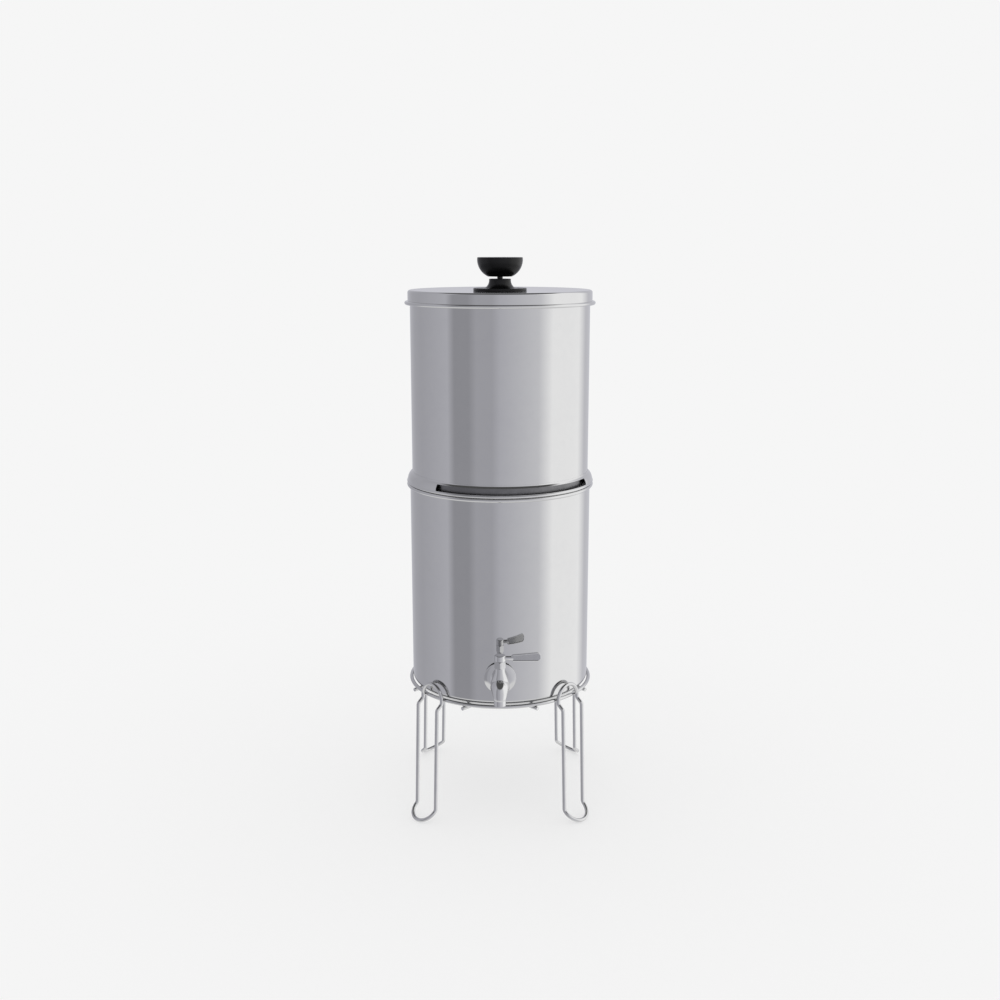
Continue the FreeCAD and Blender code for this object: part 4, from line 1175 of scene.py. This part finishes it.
def make_floor():
    """A pale floor that keeps the shadow near the object and fades into the backdrop."""
    deselect()
    bpy.ops.mesh.primitive_plane_add(size=FLOOR_SIZE, location=ORIGIN)
    floor = bpy.context.object
    floor.name = "floor"
    floor.visible_glossy = False
    material = bpy.data.materials.new("pale_floor")
    material.use_nodes = True
    tree = material.node_tree
    tree.nodes.clear()
    place = tree.nodes.new("ShaderNodeTexCoord").outputs["Object"]
    distance = tree.nodes.new("ShaderNodeVectorMath")
    distance.operation = "LENGTH"
    tree.links.new(place, distance.inputs[0])
    fade = map_range(tree, distance.outputs["Value"], FLOOR_FADE_START, FLOOR_FADE_END)
    lift = BACKDROP - FLOOR_COLOUR[0] * WORLD_LIGHT
    both = tree.nodes.new("ShaderNodeAddShader")
    tree.links.new(coloured_shader(tree, "ShaderNodeBsdfDiffuse", FLOOR_COLOUR), both.inputs[0])
    tree.links.new(coloured_shader(tree, "ShaderNodeEmission", WHITE, lift), both.inputs[1])
    far = coloured_shader(tree, "ShaderNodeEmission", WHITE, BACKDROP)
    output = tree.nodes.new("ShaderNodeOutputMaterial")
    tree.links.new(blend_shaders(tree, fade, both.outputs[0], far), output.inputs["Surface"])
    floor.data.materials.append(material)


# Soft panels round the object at eye level: degrees from the front towards the right, then
# brightness at both ends. A large bright panel on the right, a dark card at the front left and a
# pale room behind.
SIDE_PANELS = [
    (-180, -140, 0.6, 0.5), (-120, -70, 0.5, 0.6), (-60, -40, 0.4, 0.4), (-30, -10, 0.5, 0.5),
    (0, 50, 0.6, 0.8), (70, 120, 1.2, 1.2), (140, 180, 0.7, 0.6),
]


def grey(level, tint=1.0):
    """A grey at a panel's brightness, with its blue made stronger by the tint."""
    level = level * PANEL_SCALE
    return (level, level, level * tint)


def panel_ramp(tree, around, panels):
    """Colour round the object, from panels. Dim panels are slightly blue."""
    ramp = tree.nodes.new("ShaderNodeValToRGB")
    tree.links.new(around, ramp.inputs[0])
    stops = []
    for start, end, first, last in panels:
        stops.append((start, first))
        stops.append((end, last))
    elements = ramp.color_ramp.elements
    while len(elements) < len(stops):
        elements.new(0.5)
    for element, (degrees, level) in zip(elements, stops):
        element.position = (degrees + 180) / 360
        tint = 1 + min(PANEL_TINT_LIMIT, max(0, PANEL_TINT * (1 - level)))
        element.color = (*grey(level, tint), 1)
    return ramp.outputs["Color"]


def layer_above(tree, height, degrees, below, above):
    """Puts one layer of the surround over another, at an elevation in degrees."""
    low = math.sin(math.radians(degrees - LAYER_BLEND))
    high = math.sin(math.radians(degrees + LAYER_BLEND))
    return mix_colours(tree, map_range(tree, height, low, high), below, above)


def mirrored_surround(tree):
    """What polished metal shows: pale floor, soft panels at eye level and a dim ceiling."""
    parts = tree.nodes.new("ShaderNodeSeparateXYZ")
    tree.links.new(tree.nodes.new("ShaderNodeTexCoord").outputs["Generated"], parts.inputs[0])
    backward = math_node(tree, "MULTIPLY", parts.outputs["Y"], -1.0)
    angle = math_node(tree, "ARCTAN2", parts.outputs["X"], backward)
    around = map_range(tree, angle, -math.pi, math.pi)
    height = parts.outputs["Z"]
    sides = panel_ramp(tree, around, SIDE_PANELS)
    surround = layer_above(tree, height, MIRRORED_FLOOR_EDGE, grey(MIRRORED_FLOOR), sides)
    return layer_above(tree, height, MIRRORED_CEILING_EDGE, surround, grey(MIRRORED_CEILING))


def make_world():
    """An even pale surround. The camera sees the backdrop, and polished metal sees the panels."""
    world = bpy.data.worlds.new("surround")
    world.use_nodes = True
    bpy.context.scene.world = world
    tree = world.node_tree
    tree.nodes.clear()
    path = tree.nodes.new("ShaderNodeLightPath")
    light = coloured_shader(tree, "ShaderNodeBackground", WHITE, WORLD_LIGHT)
    mirrored = coloured_shader(tree, "ShaderNodeBackground", mirrored_surround(tree), 1 / PANEL_SCALE)
    seen = coloured_shader(tree, "ShaderNodeBackground", WHITE, BACKDROP)
    unseen = blend_shaders(tree, path.outputs["Is Glossy Ray"], light, mirrored)
    shown = math_node(tree, "MAXIMUM", path.outputs["Is Camera Ray"], path.outputs["Is Transmission Ray"])
    output = tree.nodes.new("ShaderNodeOutputWorld")
    tree.links.new(blend_shaders(tree, shown, unseen, seen), output.inputs["Surface"])


make_camera()
make_floor()
make_world()
bpy.context.scene.view_settings.view_transform = "Standard"
